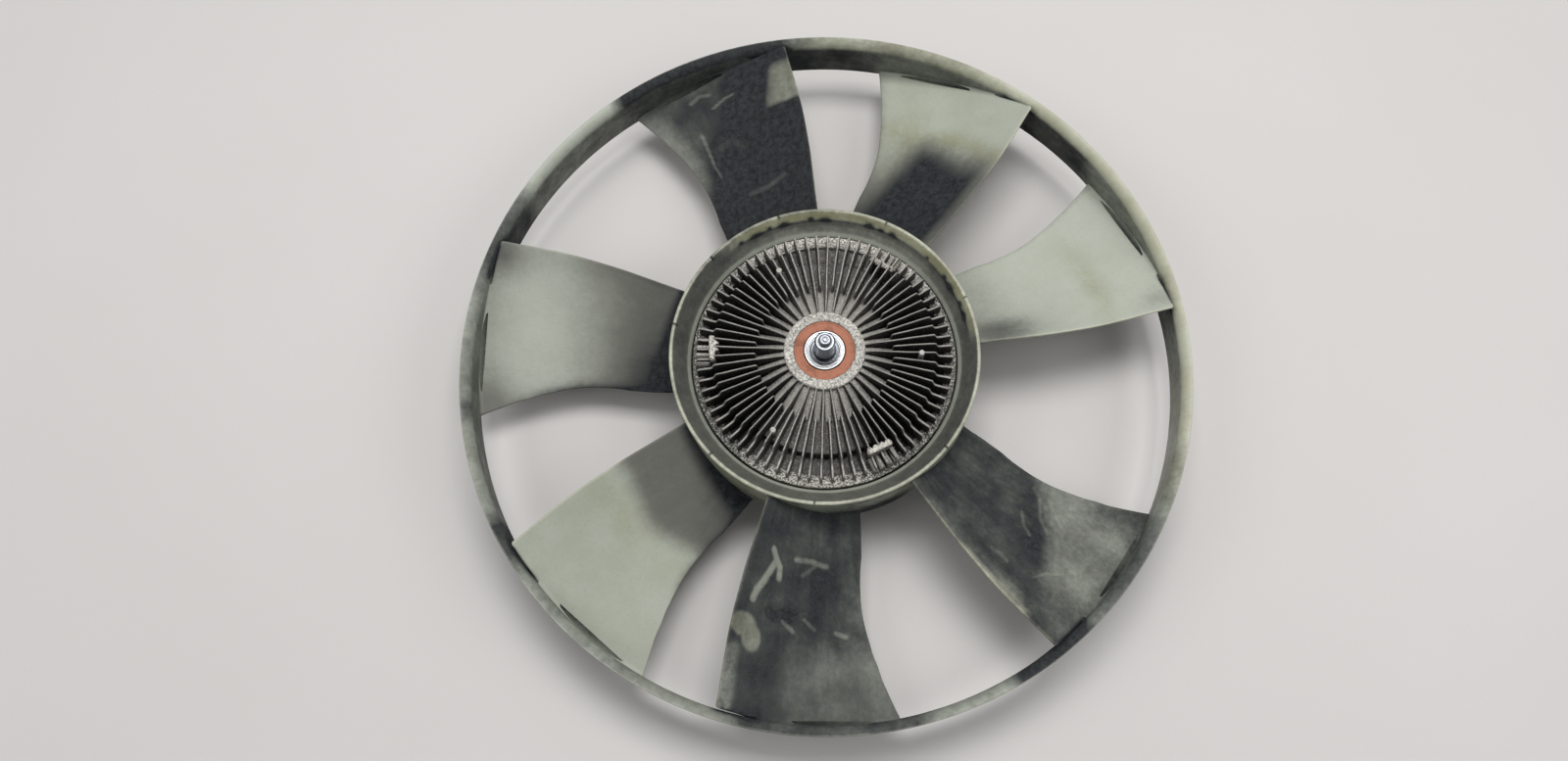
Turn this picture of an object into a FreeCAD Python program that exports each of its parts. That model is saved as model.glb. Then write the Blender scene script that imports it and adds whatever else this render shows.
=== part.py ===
import FreeCAD, Part
from FreeCAD import Vector
import math
import os

# Engine cooling fan with a viscous coupling, lying with its coupling's front
# face down. +Z is the axis of rotation and points to the engine side, where the
# threaded input stud is. Z = 0 is the face of the guard rim it rests on.
# Millimetres throughout.

# ---------------------------------------------------------------- dimensions
LIP_R = 250.0            # outer radius of the shroud ring's bell-mouth lip
LIP_Z = 62.0             # height of the lip plane
RING_THROAT_R = 243.0    # inner radius just below the bell mouth
RING_FOOT_IN_R = 244.2   # inner radius at the ring's lower edge (draft)
RING_FOOT_OUT_R = 246.8
RING_FOOT_Z = 25.0
RING_WALL = 2.6
BELL_R = 7.0             # bell-mouth rounding

HUB_OUT_R = 105.2        # outside of the fan hub
HUB_RIM_Z = 73.2         # top of the hub rim
HUB_FOOT_Z = 30.0
HUB_CONE_R = 95.3        # lower end of the inner cone
HUB_CONE_Z = 58.7
HUB_WALL = 3.0
FLANGE_IN_R = 78.2       # fan mounting flange
FLANGE_Z0 = 38.0
FLANGE_Z1 = 44.0

BLADE_MIDS = [172.9, 110.2, 64.9, 21.7, -39.6, -93.1, -134.4]   # uneven spacing, degrees
BLADE_HALF = 14.0        # half of the tip width, degrees
BLADE_T_MID = 3.2
BLADE_T_EDGE = 2.0
BLADE_CAMBER = 0.05      # of the chord
CORNER_FREE_DEG = 6.5    # stretch of the tip that is free of the ring
CORNER_R = 242.5

HOUSING_R = 90.5
HOUSING_Z0 = 44.0        # joint face of housing, cover and fan flange
FIN_TOP_Z = 76.8         # radial cooling fins of the rear housing
FIN_STEP_Z = 70.0
FIN_T = 1.25
FIN_PITCH = 10.0         # long fins; short fins stand half way between them
LONG_FIN_PHASE = 8.0
SHORT_FIN_PHASE = 3.0
PAD_W = 4.0              # sloping pads inside the short fins
PAD_Z_IN = 72.0
PAD_Z_OUT = 63.2
BOSS_R = 27.5
BOSS_Z = 76.2
FLOOR_IN_Z = 62.0
FLOOR_OUT_Z = 55.5
RIM_Z = 57.5

BEARING_BORE_R = 10.0    # 20 x 42 x 12 deep-groove bearing
BEARING_OUT_R = 21.0
BEARING_Z0 = 62.2
BEARING_W = 12.0
BALL_R = 3.05
GROOVE_R = 3.2
BALL_PITCH_R = 15.5
BALL_COUNT = 9

STUD_R = 7.0             # threaded stud
STUD_Z0 = 76.6
STUD_Z1 = 94.0
DOG_R = 4.0
DOG_Z1 = 98.0
SHAFT_TAIL_R = 8.0
SHAFT_TAIL_Z0 = 44.4

ROTOR_R = 66.1
ROTOR_Z0 = 44.6
ROTOR_Z1 = 47.4
RIB_W = 1.5
RIB_PITCH = 4.0
CAVITY_R = 66.6

COVER_R = 77.0
PLATE_R = 62.0
PLATE_Z0 = 41.6
PLATE_T = 1.6
PORT_R = 3.0
PORT_PCR = 44.0

FAN_BOLT_PCR = 84.2
FAN_BOLT_ANGLES = [58.0, 178.0, 298.0]
FAN_BOLT_R = 3.0
SLEEVE_R = 4.6
COVER_SCREW_PCR = 73.4
COVER_SCREW_R = 2.0

VALVE_SHAFT_R = 2.5
COIL_R0 = 3.7
COIL_R1 = 15.0
COIL_TURNS = 4.25
COIL_T = 0.9
COIL_Z0 = 2.5
COIL_Z1 = 9.5

Z = Vector(0, 0, 1)
O = Vector(0, 0, 0)


# ------------------------------------------------------------------- helpers
def rz(shape, deg):
    s = shape.copy()
    s.rotate(O, Z, deg)
    return s


def lathe(points):
    """Full turn of a closed profile of (radius, z) points. A point with a
    third item (rm, zm) is reached by an arc through that mid point."""
    edges = []
    n = len(points)
    for i in range(n):
        a = points[i]
        b = points[(i + 1) % n]
        pa = Vector(a[0], 0, a[1])
        pb = Vector(b[0], 0, b[1])
        if len(b) == 3:
            pm = Vector(b[2][0], 0, b[2][1])
            edges.append(Part.Arc(pa, pm, pb).toShape())
        else:
            edges.append(Part.LineSegment(pa, pb).toShape())
    face = Part.Face(Part.Wire(edges))
    return face.revolve(O, Z, 360)


def tube(r_in, r_out, z0, z1):
    s = Part.makeCylinder(r_out, z1 - z0, Vector(0, 0, z0), Z)
    if r_in > 0:
        s = s.cut(Part.makeCylinder(r_in, z1 - z0 + 2, Vector(0, 0, z0 - 1), Z))
    return s


def cyl(r, z0, z1, pcr=0.0, deg=0.0):
    a = math.radians(deg)
    return Part.makeCylinder(r, z1 - z0, Vector(pcr * math.cos(a), pcr * math.sin(a), z0), Z)


def plate_rz(points, t):
    """Flat radial plate of thickness t centred on the XZ plane."""
    w = Part.makePolygon([Vector(r, -t / 2, z) for r, z in points] + [Vector(points[0][0], -t / 2, points[0][1])])
    return Part.Face(w).extrude(Vector(0, t, 0))


def block(r0, r1, half_w, z0, z1, deg):
    return rz(Part.makeBox(r1 - r0, 2 * half_w, z1 - z0, Vector(r0, -half_w, z0)), deg)


def clean(shape):
    try:
        return shape.removeSplitter()
    except Exception:
        return shape


def save(name, shape):
    if isinstance(shape, list):
        shape = Part.makeCompound(shape)
    shape.exportStep(os.path.join("parts", name + ".step"))
    sol = shape.Solids
    print("%-22s solids %2d  valid %s  volume %.0f" % (name, len(sol), shape.isValid(), sum(s.Volume for s in sol)))


def interp(table, x):
    if x <= table[0][0]:
        a, b = table[0], table[1]
    elif x >= table[-1][0]:
        a, b = table[-2], table[-1]
    else:
        a, b = table[0], table[1]
        for i in range(len(table) - 1):
            if table[i][0] <= x <= table[i + 1][0]:
                a, b = table[i], table[i + 1]
                break
    return a[1] + (b[1] - a[1]) * (x - a[0]) / (b[0] - a[0])


os.makedirs("parts", exist_ok=True)

# ------------------------------------------------------------ shroud ring
bc = (LIP_R, LIP_Z - BELL_R)
k = math.sqrt(0.5)
ro = BELL_R - RING_WALL
ring = lathe([
    (LIP_R, LIP_Z),
    (RING_THROAT_R, LIP_Z - BELL_R, (bc[0] - BELL_R * k, bc[1] + BELL_R * k)),
    (RING_FOOT_IN_R, RING_FOOT_Z),
    (RING_FOOT_OUT_R, RING_FOOT_Z),
    (RING_THROAT_R + RING_WALL, LIP_Z - BELL_R),
    (LIP_R, LIP_Z - RING_WALL, (bc[0] - ro * k, bc[1] + ro * k)),
])
save("fan_outer_ring", ring)

# ------------------------------------------------------------------ fan hub
hub = lathe([
    (HUB_OUT_R + 0.2, HUB_FOOT_Z),
    (HUB_OUT_R, HUB_RIM_Z - 1.2),
    (102.6, HUB_RIM_Z - 1.0, (103.9, HUB_RIM_Z)),
    (HUB_CONE_R, HUB_CONE_Z),
    (92.3, 55.2),
    (92.0, FLANGE_Z1),
    (FLANGE_IN_R, FLANGE_Z1),
    (FLANGE_IN_R, FLANGE_Z0),
    (97.6, FLANGE_Z0),
    (98.3, 57.5),
    (102.2, 66.2),
    (102.4, HUB_FOOT_Z),
])
hub_ribs = []
for i in range(21):
    hub_ribs.append(rz(plate_rz([(97.0, 36.0), (103.0, 32.0), (103.0, 68.0), (98.0, 58.0)], 2.0), 360.0 / 21 * i + 4))
hub = hub.multiFuse(hub_ribs)
for a in FAN_BOLT_ANGLES:
    hub = hub.cut(cyl(SLEEVE_R, FLANGE_Z0 - 1, FLANGE_Z1 + 1, FAN_BOLT_PCR, a))
hub = clean(hub)
save("fan_hub", hub)

# ------------------------------------------------------------------- blades
# leading (engine-side) edge: degrees relative to its own tip, by radius
HIGH_EDGE = [(96, -4.6), (112, -3.9), (126, -3.5), (140, -3.2), (150, -3.0), (168, -2.5), (182, -2.1),
             (196, -1.6), (208, -1.1), (220, -0.6), (236, 0.0), (246, 0.3)]
LOW_EDGE = [(96, 3.6), (104, 2.4), (112, 1.5), (120, 0.8), (128, 0.0), (136, -0.7), (144, -1.6), (152, -2.2),
            (160, -2.6), (168, -2.8), (176, -2.8), (184, -2.6), (192, -2.3), (200, -2.0), (208, -1.5),
            (216, -1.2), (224, -0.7), (232, -0.2), (240, 0.3), (246, 0.7)]
HIGH_Z = [(96, 70.2), (112, 69.8), (150, 68.6), (200, 66.4), (236, 64.4), (246, 63.8)]
LOW_Z = [(96, 31.6), (112, 31.2), (150, 30.2), (200, 29.0), (236, 27.8), (246, 27.5)]
R_STATIONS = [100.5, 108, 118, 128, 138, 148, 158, 168, 178, 188, 198, 208, 218, 228, 237, 245.2]
S_STATIONS = [0.0, 0.06, 0.2, 0.36, 0.52, 0.68, 0.84, 0.95, 1.0]


def blade_point(r, s, side):
    """Point on the face (side +1 engine side, -1 radiator side) at radius r and
    chord fraction s, from the high edge to the low edge."""
    ah = math.radians(-BLADE_HALF + interp(HIGH_EDGE, r))
    al = math.radians(BLADE_HALF + interp(LOW_EDGE, r))
    zh = interp(HIGH_Z, r)
    zl = interp(LOW_Z, r)
    du = (al - ah) * r
    dz = zl - zh
    chord = math.hypot(du, dz)
    nu, nz = -dz / chord, du / chord          # unit normal of the section, towards +Z
    bow = -BLADE_CAMBER * chord * 4 * s * (1 - s)
    t = BLADE_T_EDGE + (BLADE_T_MID - BLADE_T_EDGE) * math.sqrt(max(0.0, 4 * s * (1 - s)))
    off = bow + side * t / 2
    u = du * s + nu * off
    z = zh + dz * s + nz * off
    a = ah + u / r
    return Vector(r * math.cos(a), r * math.sin(a), z)


def blade_solid():
    faces = []
    for side in (1, -1):
        grid = [[blade_point(r, s, side) for s in S_STATIONS] for r in R_STATIONS]
        bs = Part.BSplineSurface()
        bs.interpolate(grid)
        faces.append(bs.toShape())
    top, bot = faces

    def match(edge, face):
        c = edge.CenterOfMass
        return min(face.Edges, key=lambda e: (e.CenterOfMass - c).Length)
    sides = [Part.makeRuledSurface(e, match(e, bot)) for e in top.Edges]
    shell = Part.makeShell([top, bot] + sides)
    shell.sewShape()
    solid = Part.makeSolid(shell)
    if solid.Volume < 0:
        solid.reverse()
    return solid


blade = blade_solid()
hub_core = Part.makeCylinder(HUB_OUT_R, 60, Vector(0, 0, 20), Z)
blade = blade.cut(lathe([
    (90, 10), (HUB_OUT_R + 0.25, 10), (HUB_OUT_R + 0.2, HUB_FOOT_Z), (HUB_OUT_R, HUB_RIM_Z - 1.2),
    (HUB_OUT_R, 90), (90, 90)]))
blade = blade.cut(lathe([
    (LIP_R, LIP_Z + 8),
    (LIP_R, LIP_Z),
    (RING_THROAT_R, LIP_Z - BELL_R, (bc[0] - BELL_R * k, bc[1] + BELL_R * k)),
    (RING_FOOT_IN_R, RING_FOOT_Z),
    (RING_FOOT_IN_R, 5),
    (LIP_R + 10, 5),
    (LIP_R + 10, LIP_Z + 8),
]))
gap = Part.makeCylinder(256, 60, Vector(0, 0, 40), Z, CORNER_FREE_DEG + 4.0)
gap = gap.cut(Part.makeCylinder(CORNER_R, 62, Vector(0, 0, 39), Z))
gap.rotate(O, Z, -BLADE_HALF - 4.0)
blade = blade.cut(gap)
blade = max(blade.Solids, key=lambda s: s.Volume)
blades = [rz(blade, m) for m in BLADE_MIDS]
save("fan_blades", blades)

# ------------------------------------------------------- fan flange sleeves
save("fan_flange_sleeves", [cyl(SLEEVE_R, FLANGE_Z0, FLANGE_Z1, FAN_BOLT_PCR, a).cut(
    cyl(FAN_BOLT_R + 0.25, FLANGE_Z0 - 1, FLANGE_Z1 + 1, FAN_BOLT_PCR, a)) for a in FAN_BOLT_ANGLES])


def hexagon(af, z0, z1):
    r = af / 2 / math.cos(math.pi / 6)
    pts = [Vector(r * math.cos(math.pi / 3 * i), r * math.sin(math.pi / 3 * i), z0) for i in range(7)]
    return Part.Face(Part.makePolygon(pts)).extrude(Vector(0, 0, z1 - z0))


bolt = cyl(FAN_BOLT_R, 37.0, 55.0).fuse(cyl(6.4, 36.7, FLANGE_Z0)).fuse(hexagon(10.0, 32.2, 37.0))
bolt = clean(bolt)
bolts = []
for a in FAN_BOLT_ANGLES:
    b = bolt.copy()
    b.translate(Vector(FAN_BOLT_PCR, 0, 0))
    bolts.append(rz(b, a))
save("fan_bolts", bolts)

# -------------------------------------------------------------- rear housing
housing = lathe([
    (20.7, BOSS_Z - 0.4), (21.1, BOSS_Z), (26.7, BOSS_Z), (BOSS_R, BOSS_Z - 0.8),
    (BOSS_R, FLOOR_IN_Z), (68.6, FLOOR_IN_Z), (69.6, FLOOR_OUT_Z), (81.6, FLOOR_OUT_Z),
    (82.4, RIM_Z), (89.7, RIM_Z), (HOUSING_R, RIM_Z - 0.8), (HOUSING_R, HOUSING_Z0),
    (CAVITY_R, HOUSING_Z0), (CAVITY_R, 50.5), (65.0, 50.5), (65.0, 53.0), (38.0, 53.0), (36.0, 57.0),
    (17.2, 57.0), (17.2, BEARING_Z0), (BEARING_OUT_R, BEARING_Z0), (BEARING_OUT_R, 75.4), (20.7, 75.4),
])
rib_r = [42.0, 46.0, 50.0, 54.0, 58.0, 62.0]
inner_ribs = [tube(r - RIB_W / 2, r + RIB_W / 2, 48.4, 54.0) for r in rib_r]
fin_outer = [(74.2, FIN_TOP_Z), (75.2, FIN_TOP_Z - 0.8), (76.8, FIN_STEP_Z + 1.0), (77.8, FIN_STEP_Z),
             (86.2, FIN_STEP_Z), (87.0, FIN_STEP_Z - 0.8), (87.2, 50.0), (72.0, 50.0), (66.0, 58.0)]
long_fin = plate_rz([(26.9, 60.0), (26.9, FIN_TOP_Z - 1.2), (30.0, FIN_TOP_Z)] + fin_outer + [(60.0, 60.0)], FIN_T)
short_fin = plate_rz([(46.4, 60.0), (46.8, FIN_TOP_Z - 0.8), (47.6, FIN_TOP_Z)] + fin_outer + [(60.0, 60.0)], FIN_T)
pad = plate_rz([(26.9, 60.0), (26.9, PAD_Z_IN), (47.2, PAD_Z_OUT), (47.2, 60.0)], PAD_W)
pieces = list(inner_ribs)
for i in range(36):
    pieces.append(rz(long_fin, LONG_FIN_PHASE + FIN_PITCH * i))
    pieces.append(rz(short_fin, SHORT_FIN_PHASE + FIN_PITCH * i))
    pieces.append(rz(pad, SHORT_FIN_PHASE + FIN_PITCH * i))
for a in FAN_BOLT_ANGLES:
    pieces.append(block(73.0, 78.2, 8.8, 53.0, 76.2, a))        # cast lug over the bolt boss
    pieces.append(block(77.5, 87.6, 9.8, 53.0, 66.5, a))
for a in (118.0, 238.0, 358.0):
    pieces.append(cyl(1.9, 55.0, 77.2, 65.3, a))                # ejector-pin lands
housing = housing.multiFuse(pieces)
cuts = [cyl(FAN_BOLT_R, HOUSING_Z0 - 1, 57.0, FAN_BOLT_PCR, a) for a in FAN_BOLT_ANGLES]
cuts += [cyl(COVER_SCREW_R, HOUSING_Z0 - 1, 52.0, COVER_SCREW_PCR, 60.0 * i) for i in range(6)]
for c in cuts:
    housing = housing.cut(c)
housing = clean(housing)
save("rear_housing", housing)

# ------------------------------------------------------------------ bearing
groove = Part.makeTorus(BALL_PITCH_R, GROOVE_R, Vector(0, 0, BEARING_Z0 + BEARING_W / 2), Z)
save("bearing_outer_race", tube(17.9, BEARING_OUT_R, BEARING_Z0, BEARING_Z0 + BEARING_W).cut(groove))
inner = lathe([(BEARING_BORE_R, BEARING_Z0), (13.2, BEARING_Z0), (13.2, 74.3), (14.4, 74.3), (14.4, 75.6),
               (14.1, 75.9), (BEARING_BORE_R, 75.9)])
save("bearing_inner_race", inner.cut(groove))
zb = BEARING_Z0 + BEARING_W / 2
balls = []
cage = tube(14.5, 16.6, zb - 3.9, zb + 3.9)
for i in range(BALL_COUNT):
    a = math.radians(360.0 / BALL_COUNT * i)
    p = Vector(BALL_PITCH_R * math.cos(a), BALL_PITCH_R * math.sin(a), zb)
    balls.append(Part.makeSphere(BALL_R, p))
    u = Vector(math.cos(a), math.sin(a), 0)
    cage = cage.cut(Part.makeCylinder(BALL_R + 0.15, 8.0, Vector(12.0 * u.x, 12.0 * u.y, zb), u))
save("bearing_balls", balls)
save("bearing_cage", cage)
save("bearing_rear_seal", lathe([(14.9, 74.2), (20.95, 74.2), (20.95, 75.3), (19.6, 75.3), (19.2, 75.0),
                                 (16.2, 75.0), (15.8, 75.4), (14.9, 75.4)]))
save("bearing_front_seal", tube(13.7, 17.85, BEARING_Z0 + 0.3, BEARING_Z0 + 1.3))

# -------------------------------------------------------------- input shaft
shaft = lathe([
    (0, SHAFT_TAIL_Z0), (SHAFT_TAIL_R - 0.8, SHAFT_TAIL_Z0), (SHAFT_TAIL_R, SHAFT_TAIL_Z0 + 0.8),
    (SHAFT_TAIL_R, 59.4), (12.2, 59.4), (12.2, BEARING_Z0), (BEARING_BORE_R, BEARING_Z0),
    (BEARING_BORE_R, STUD_Z0 - 0.3), (BEARING_BORE_R - 0.3, STUD_Z0), (9.4, STUD_Z0), (9.4, STUD_Z0 - 0.6),
    (8.8, STUD_Z0 - 0.6), (8.8, STUD_Z0), (STUD_R, STUD_Z0), (STUD_R, STUD_Z1 - 1.0),
    (STUD_R - 1.2, STUD_Z1), (DOG_R, STUD_Z1), (DOG_R, DOG_Z1 - 0.6), (DOG_R - 0.6, DOG_Z1), (0, DOG_Z1),
])
save("input_shaft", shaft)

# ------------------------------------------------------------- drive rotor
rotor = lathe([
    (SHAFT_TAIL_R, SHAFT_TAIL_Z0), (14.0, SHAFT_TAIL_Z0), (16.0, ROTOR_Z0), (ROTOR_R, ROTOR_Z0),
    (ROTOR_R, ROTOR_Z1), (18.0, ROTOR_Z1), (14.0, 50.5), (14.0, 59.4), (SHAFT_TAIL_R, 59.4)])
rotor_ribs = [tube(r - RIB_W / 2, r + RIB_W / 2, ROTOR_Z1 - 1.0, 52.2) for r in (40.0, 44.0, 48.0, 52.0, 56.0, 60.0, 64.0)]
rotor = rotor.multiFuse(rotor_ribs)
for i in range(6):
    rotor = rotor.cut(cyl(3.2, 40.0, 50.0, 27.0, 60.0 * i + 30))
save("drive_rotor", clean(rotor))

# -------------------------------------------------------------- front cover
cover = lathe([
    (2.9, 12.0), (2.9, 12.8), (4.4, 12.8), (4.4, 14.8), (5.0, 14.8), (5.0, 26.0), (10.0, 26.0), (10.0, 18.0),
    (50.0, 18.0), (56.0, 24.0), (56.0, PLATE_Z0), (PLATE_R, PLATE_Z0), (PLATE_R, HOUSING_Z0),
    (68.1, HOUSING_Z0), (68.1, 42.6), (69.7, 42.6), (69.7, HOUSING_Z0), (COVER_R, HOUSING_Z0),
    (COVER_R, 40.0), (69.5, 40.0), (66.0, 30.0), (60.0, 21.0), (54.0, 16.6), (37.0, 13.6), (37.0, 0.6),
    (36.4, 0.0), (34.1, 0.0), (33.5, 0.6), (33.5, 12.0),
])
cover_fin = plate_rz([(36.2, 15.0), (36.2, 1.0), (58.0, 1.0), (60.5, 2.2), (75.6, 33.0), (76.4, 40.6), (70.0, 41.0),
                      (63.5, 31.0), (58.0, 22.5), (52.0, 17.5)], 2.0)
cover = cover.multiFuse([rz(cover_fin, 5.0 + 10.0 * i) for i in range(36)])
for i in range(6):
    cover = cover.cut(cyl(COVER_SCREW_R + 0.2, 39.0, 45.0, COVER_SCREW_PCR, 60.0 * i))
save("front_cover", clean(cover))
save("cover_o_ring", Part.makeTorus(68.9, 0.7, Vector(0, 0, 43.3), Z))

screw = cyl(COVER_SCREW_R, 39.0, 51.0).fuse(lathe([(0, 37.2), (2.9, 37.2), (3.5, 37.9), (3.5, 40.0), (0, 40.0)]))
screw = screw.cut(hexagon(2.6, 36.0, 38.8))
screws = []
for i in range(6):
    s = clean(screw)
    s.translate(Vector(COVER_SCREW_PCR, 0, 0))
    screws.append(rz(s, 60.0 * i))
save("cover_screws", screws)

# -------------------------------------------------------------- valve group
plate = tube(0, PLATE_R, PLATE_Z0, PLATE_Z0 + PLATE_T)
for a in (0, 180):
    plate = plate.cut(cyl(PORT_R, 40, 45, PORT_PCR, a))
plate = plate.cut(cyl(1.6, 40, 45, 53.0, 84.0))
save("separator_plate", plate)
save("pump_wiper", rz(Part.makeBox(6.0, 9.0, 1.0, Vector(53.5, -4.5, PLATE_Z0 + PLATE_T)), 94.0))

arm = Part.makeBox(2 * 50.0, 9.0, 1.2, Vector(-50.0, -4.5, 39.4)).fuse(cyl(9.0, 39.4, 40.6))
arm = arm.cut(cyl(VALVE_SHAFT_R, 38, 42))
save("valve_arm", clean(arm))
valve_shaft = lathe([(0, 2.0), (2.1, 2.0), (VALVE_SHAFT_R, 2.4), (VALVE_SHAFT_R, 41.0), (0, 41.0)])
valve_shaft = valve_shaft.cut(Part.makeBox(8.0, COIL_T, 7.5, Vector(-4.0, -COIL_T / 2, 1.5)))
save("valve_shaft", valve_shaft)
save("valve_bush", tube(VALVE_SHAFT_R + 0.05, 5.0, 14.8, 26.0))
save("valve_o_ring", Part.makeTorus(3.48, 0.9, Vector(0, 0, 13.8), Z))


def spiral(offset):
    pts = []
    n = int(COIL_TURNS * 24)
    for i in range(n + 1):
        a = 2 * math.pi * COIL_TURNS * i / n
        r = COIL_R0 + (COIL_R1 - COIL_R0) * i / n + offset
        pts.append(Vector(r * math.cos(a), r * math.sin(a), COIL_Z0))
    return pts


outer_pts, inner_pts = spiral(COIL_T / 2), spiral(-COIL_T / 2)
e1 = Part.BSplineCurve()
e1.interpolate(outer_pts)
e2 = Part.BSplineCurve()
e2.interpolate(inner_pts)
coil_wire = Part.Wire([e1.toShape(), Part.LineSegment(outer_pts[-1], inner_pts[-1]).toShape(), e2.toShape(),
                       Part.LineSegment(inner_pts[0], outer_pts[0]).toShape()])
coil = Part.Face(coil_wire).extrude(Vector(0, 0, COIL_Z1 - COIL_Z0))
save("bimetal_coil", coil)
end_a = 360.0 * COIL_TURNS - 6.0
post = cyl(2.1, 1.6, 12.0, COIL_R1, end_a).cut(coil)
post = max(post.Solids, key=lambda s: s.Volume)
save("coil_anchor_post", post)
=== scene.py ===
import bpy
import math
import numpy as np
from mathutils import Matrix, Vector


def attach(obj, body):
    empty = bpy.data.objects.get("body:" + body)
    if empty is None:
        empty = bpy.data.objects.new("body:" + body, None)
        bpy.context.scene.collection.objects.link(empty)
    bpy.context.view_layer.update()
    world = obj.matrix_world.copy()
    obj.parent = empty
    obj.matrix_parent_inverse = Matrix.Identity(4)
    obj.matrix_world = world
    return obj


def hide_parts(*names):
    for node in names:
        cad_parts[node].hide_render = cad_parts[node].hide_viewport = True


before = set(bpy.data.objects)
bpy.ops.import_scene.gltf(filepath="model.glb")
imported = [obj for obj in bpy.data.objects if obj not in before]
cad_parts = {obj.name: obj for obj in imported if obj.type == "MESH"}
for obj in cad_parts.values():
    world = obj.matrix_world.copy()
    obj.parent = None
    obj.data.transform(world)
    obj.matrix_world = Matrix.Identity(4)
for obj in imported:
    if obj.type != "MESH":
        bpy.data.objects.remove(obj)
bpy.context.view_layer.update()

MM = 0.001
RNG = np.random.default_rng(11)

# =====================================================================
# camera (first, so that everything else is judged through it)
# =====================================================================
LIP_Z = 62.0
cam_data = bpy.data.cameras.new("camera")
cam = bpy.data.objects.new("camera", cam_data)
bpy.context.scene.collection.objects.link(cam)
right = Vector((0.99987, 0.0, -0.016332))
down = Vector((-0.004759, -0.9566, -0.29135))
forward = Vector((-0.015623, 0.29139, -0.95648))
m = Matrix.Identity(4)
for i in range(3):
    m[i][0] = right[i]
    m[i][1] = -down[i]
    m[i][2] = -forward[i]
m[0][3], m[1][3], m[2][3] = -0.01451, -0.25969, 0.79643 + LIP_Z * MM
cam.matrix_world = m
cam_data.sensor_width = 36.0
cam_data.lens = 28.125
cam_data.clip_start = 0.01
cam_data.clip_end = 50.0
bpy.context.scene.camera = cam


# =====================================================================
# mesh helpers (millimetres in, metres out)
# =====================================================================
class Bag:
    """Gathers vertices, faces and per-vertex numbers of one object."""

    def __init__(self):
        self.v, self.f, self.n = [], [], 0
        self.a = {}
        self.names = set()

    def add(self, verts, faces, **attrs):
        verts = np.asarray(verts, float).reshape(-1, 3)
        self.f.extend([tuple(int(i) + self.n for i in q) for q in faces])
        self.v.append(verts)
        for k in attrs:
            self.names.add(k)
        self.a[len(self.v) - 1] = {k: np.broadcast_to(np.asarray(x, float), (len(verts),)) for k, x in attrs.items()}
        self.n += len(verts)

    def attr(self, name):
        out = []
        for i, v in enumerate(self.v):
            out.append(self.a[i].get(name, np.zeros(len(v))))
        return np.concatenate(out)


def build(name, bag, mat, body, replaces=(), sharp=32.0):
    me = bpy.data.meshes.new(name)
    co = np.concatenate(bag.v) * MM
    me.from_pydata([tuple(c) for c in co], [], bag.f)
    me.validate()
    me.update()
    for k in sorted(bag.names):
        at = me.attributes.new(k, "FLOAT", "POINT")
        at.data.foreach_set("value", bag.attr(k).astype(np.float32))
    me.polygons.foreach_set("use_smooth", np.ones(len(me.polygons), bool))
    mark_sharp(me, sharp)
    ob = bpy.data.objects.new(name, me)
    bpy.context.scene.collection.objects.link(ob)
    me.materials.append(mat)
    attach(ob, body)
    if replaces:
        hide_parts(*replaces)
    return ob


def mark_sharp(me, angle):
    lim = math.cos(math.radians(angle))
    n = len(me.polygons)
    normals = np.zeros(n * 3)
    me.polygons.foreach_get("normal", normals)
    normals = normals.reshape(-1, 3)
    le = np.zeros(len(me.loops), int)
    me.loops.foreach_get("edge_index", le)
    lt = np.zeros(n, int)
    me.polygons.foreach_get("loop_total", lt)
    poly = np.repeat(np.arange(n), lt)
    first = np.full(len(me.edges), -1)
    second = np.full(len(me.edges), -1)
    order = np.argsort(le, kind="stable")
    es, ps = le[order], poly[order]
    start = np.r_[True, es[1:] != es[:-1]]
    first[es[start]] = ps[start]
    nxt = np.r_[False, es[1:] == es[:-1]]
    second[es[nxt]] = ps[nxt]
    ok = (first >= 0) & (second >= 0)
    dot = np.ones(len(me.edges))
    dot[ok] = (normals[first[ok]] * normals[second[ok]]).sum(1)
    at = me.attributes.get("sharp_edge") or me.attributes.new("sharp_edge", "BOOLEAN", "EDGE")
    at.data.foreach_set("value", (dot < lim))


def fillet(points, radii, steps=4, closed=True):
    """Rounds each corner of a polyline in the (r, z) plane."""
    n = len(points)
    if not hasattr(radii, "__len__"):
        radii = [radii] * n
    out = []
    for i in range(n):
        p = np.array(points[i], float)
        if (not closed and i in (0, n - 1)) or radii[i] <= 0:
            out.append(tuple(p))
            continue
        a = np.array(points[(i - 1) % n], float) - p
        b = np.array(points[(i + 1) % n], float) - p
        la, lb = np.linalg.norm(a), np.linalg.norm(b)
        a, b = a / la, b / lb
        half = math.acos(max(-1, min(1, float(a @ b)))) / 2
        if half > math.radians(88) or half < math.radians(3):
            out.append(tuple(p))
            continue
        t = min(radii[i] / math.tan(half), la * 0.47, lb * 0.47)
        rad = t * math.tan(half)
        c = p + (a + b) / np.linalg.norm(a + b) * (rad / math.sin(half))
        s, e = p + a * t - c, p + b * t - c
        ang = math.acos(max(-1, min(1, float(s @ e) / rad / rad)))
        for k in range(steps + 1):
            f = k / steps
            w = (math.sin((1 - f) * ang) * s + math.sin(f * ang) * e) / math.sin(ang)
            out.append(tuple(c + w))
    return out


def refine(points, step, closed=True):
    """Splits long runs of a profile so that attributes and noise have somewhere to live."""
    out = []
    n = len(points)
    for i in range(n if closed else n - 1):
        p, q = np.array(points[i]), np.array(points[(i + 1) % n])
        k = max(1, int(math.ceil(np.linalg.norm(q - p) / step)))
        for j in range(k):
            out.append(tuple(p + (q - p) * j / k))
    if not closed:
        out.append(points[-1])
    return out


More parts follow.
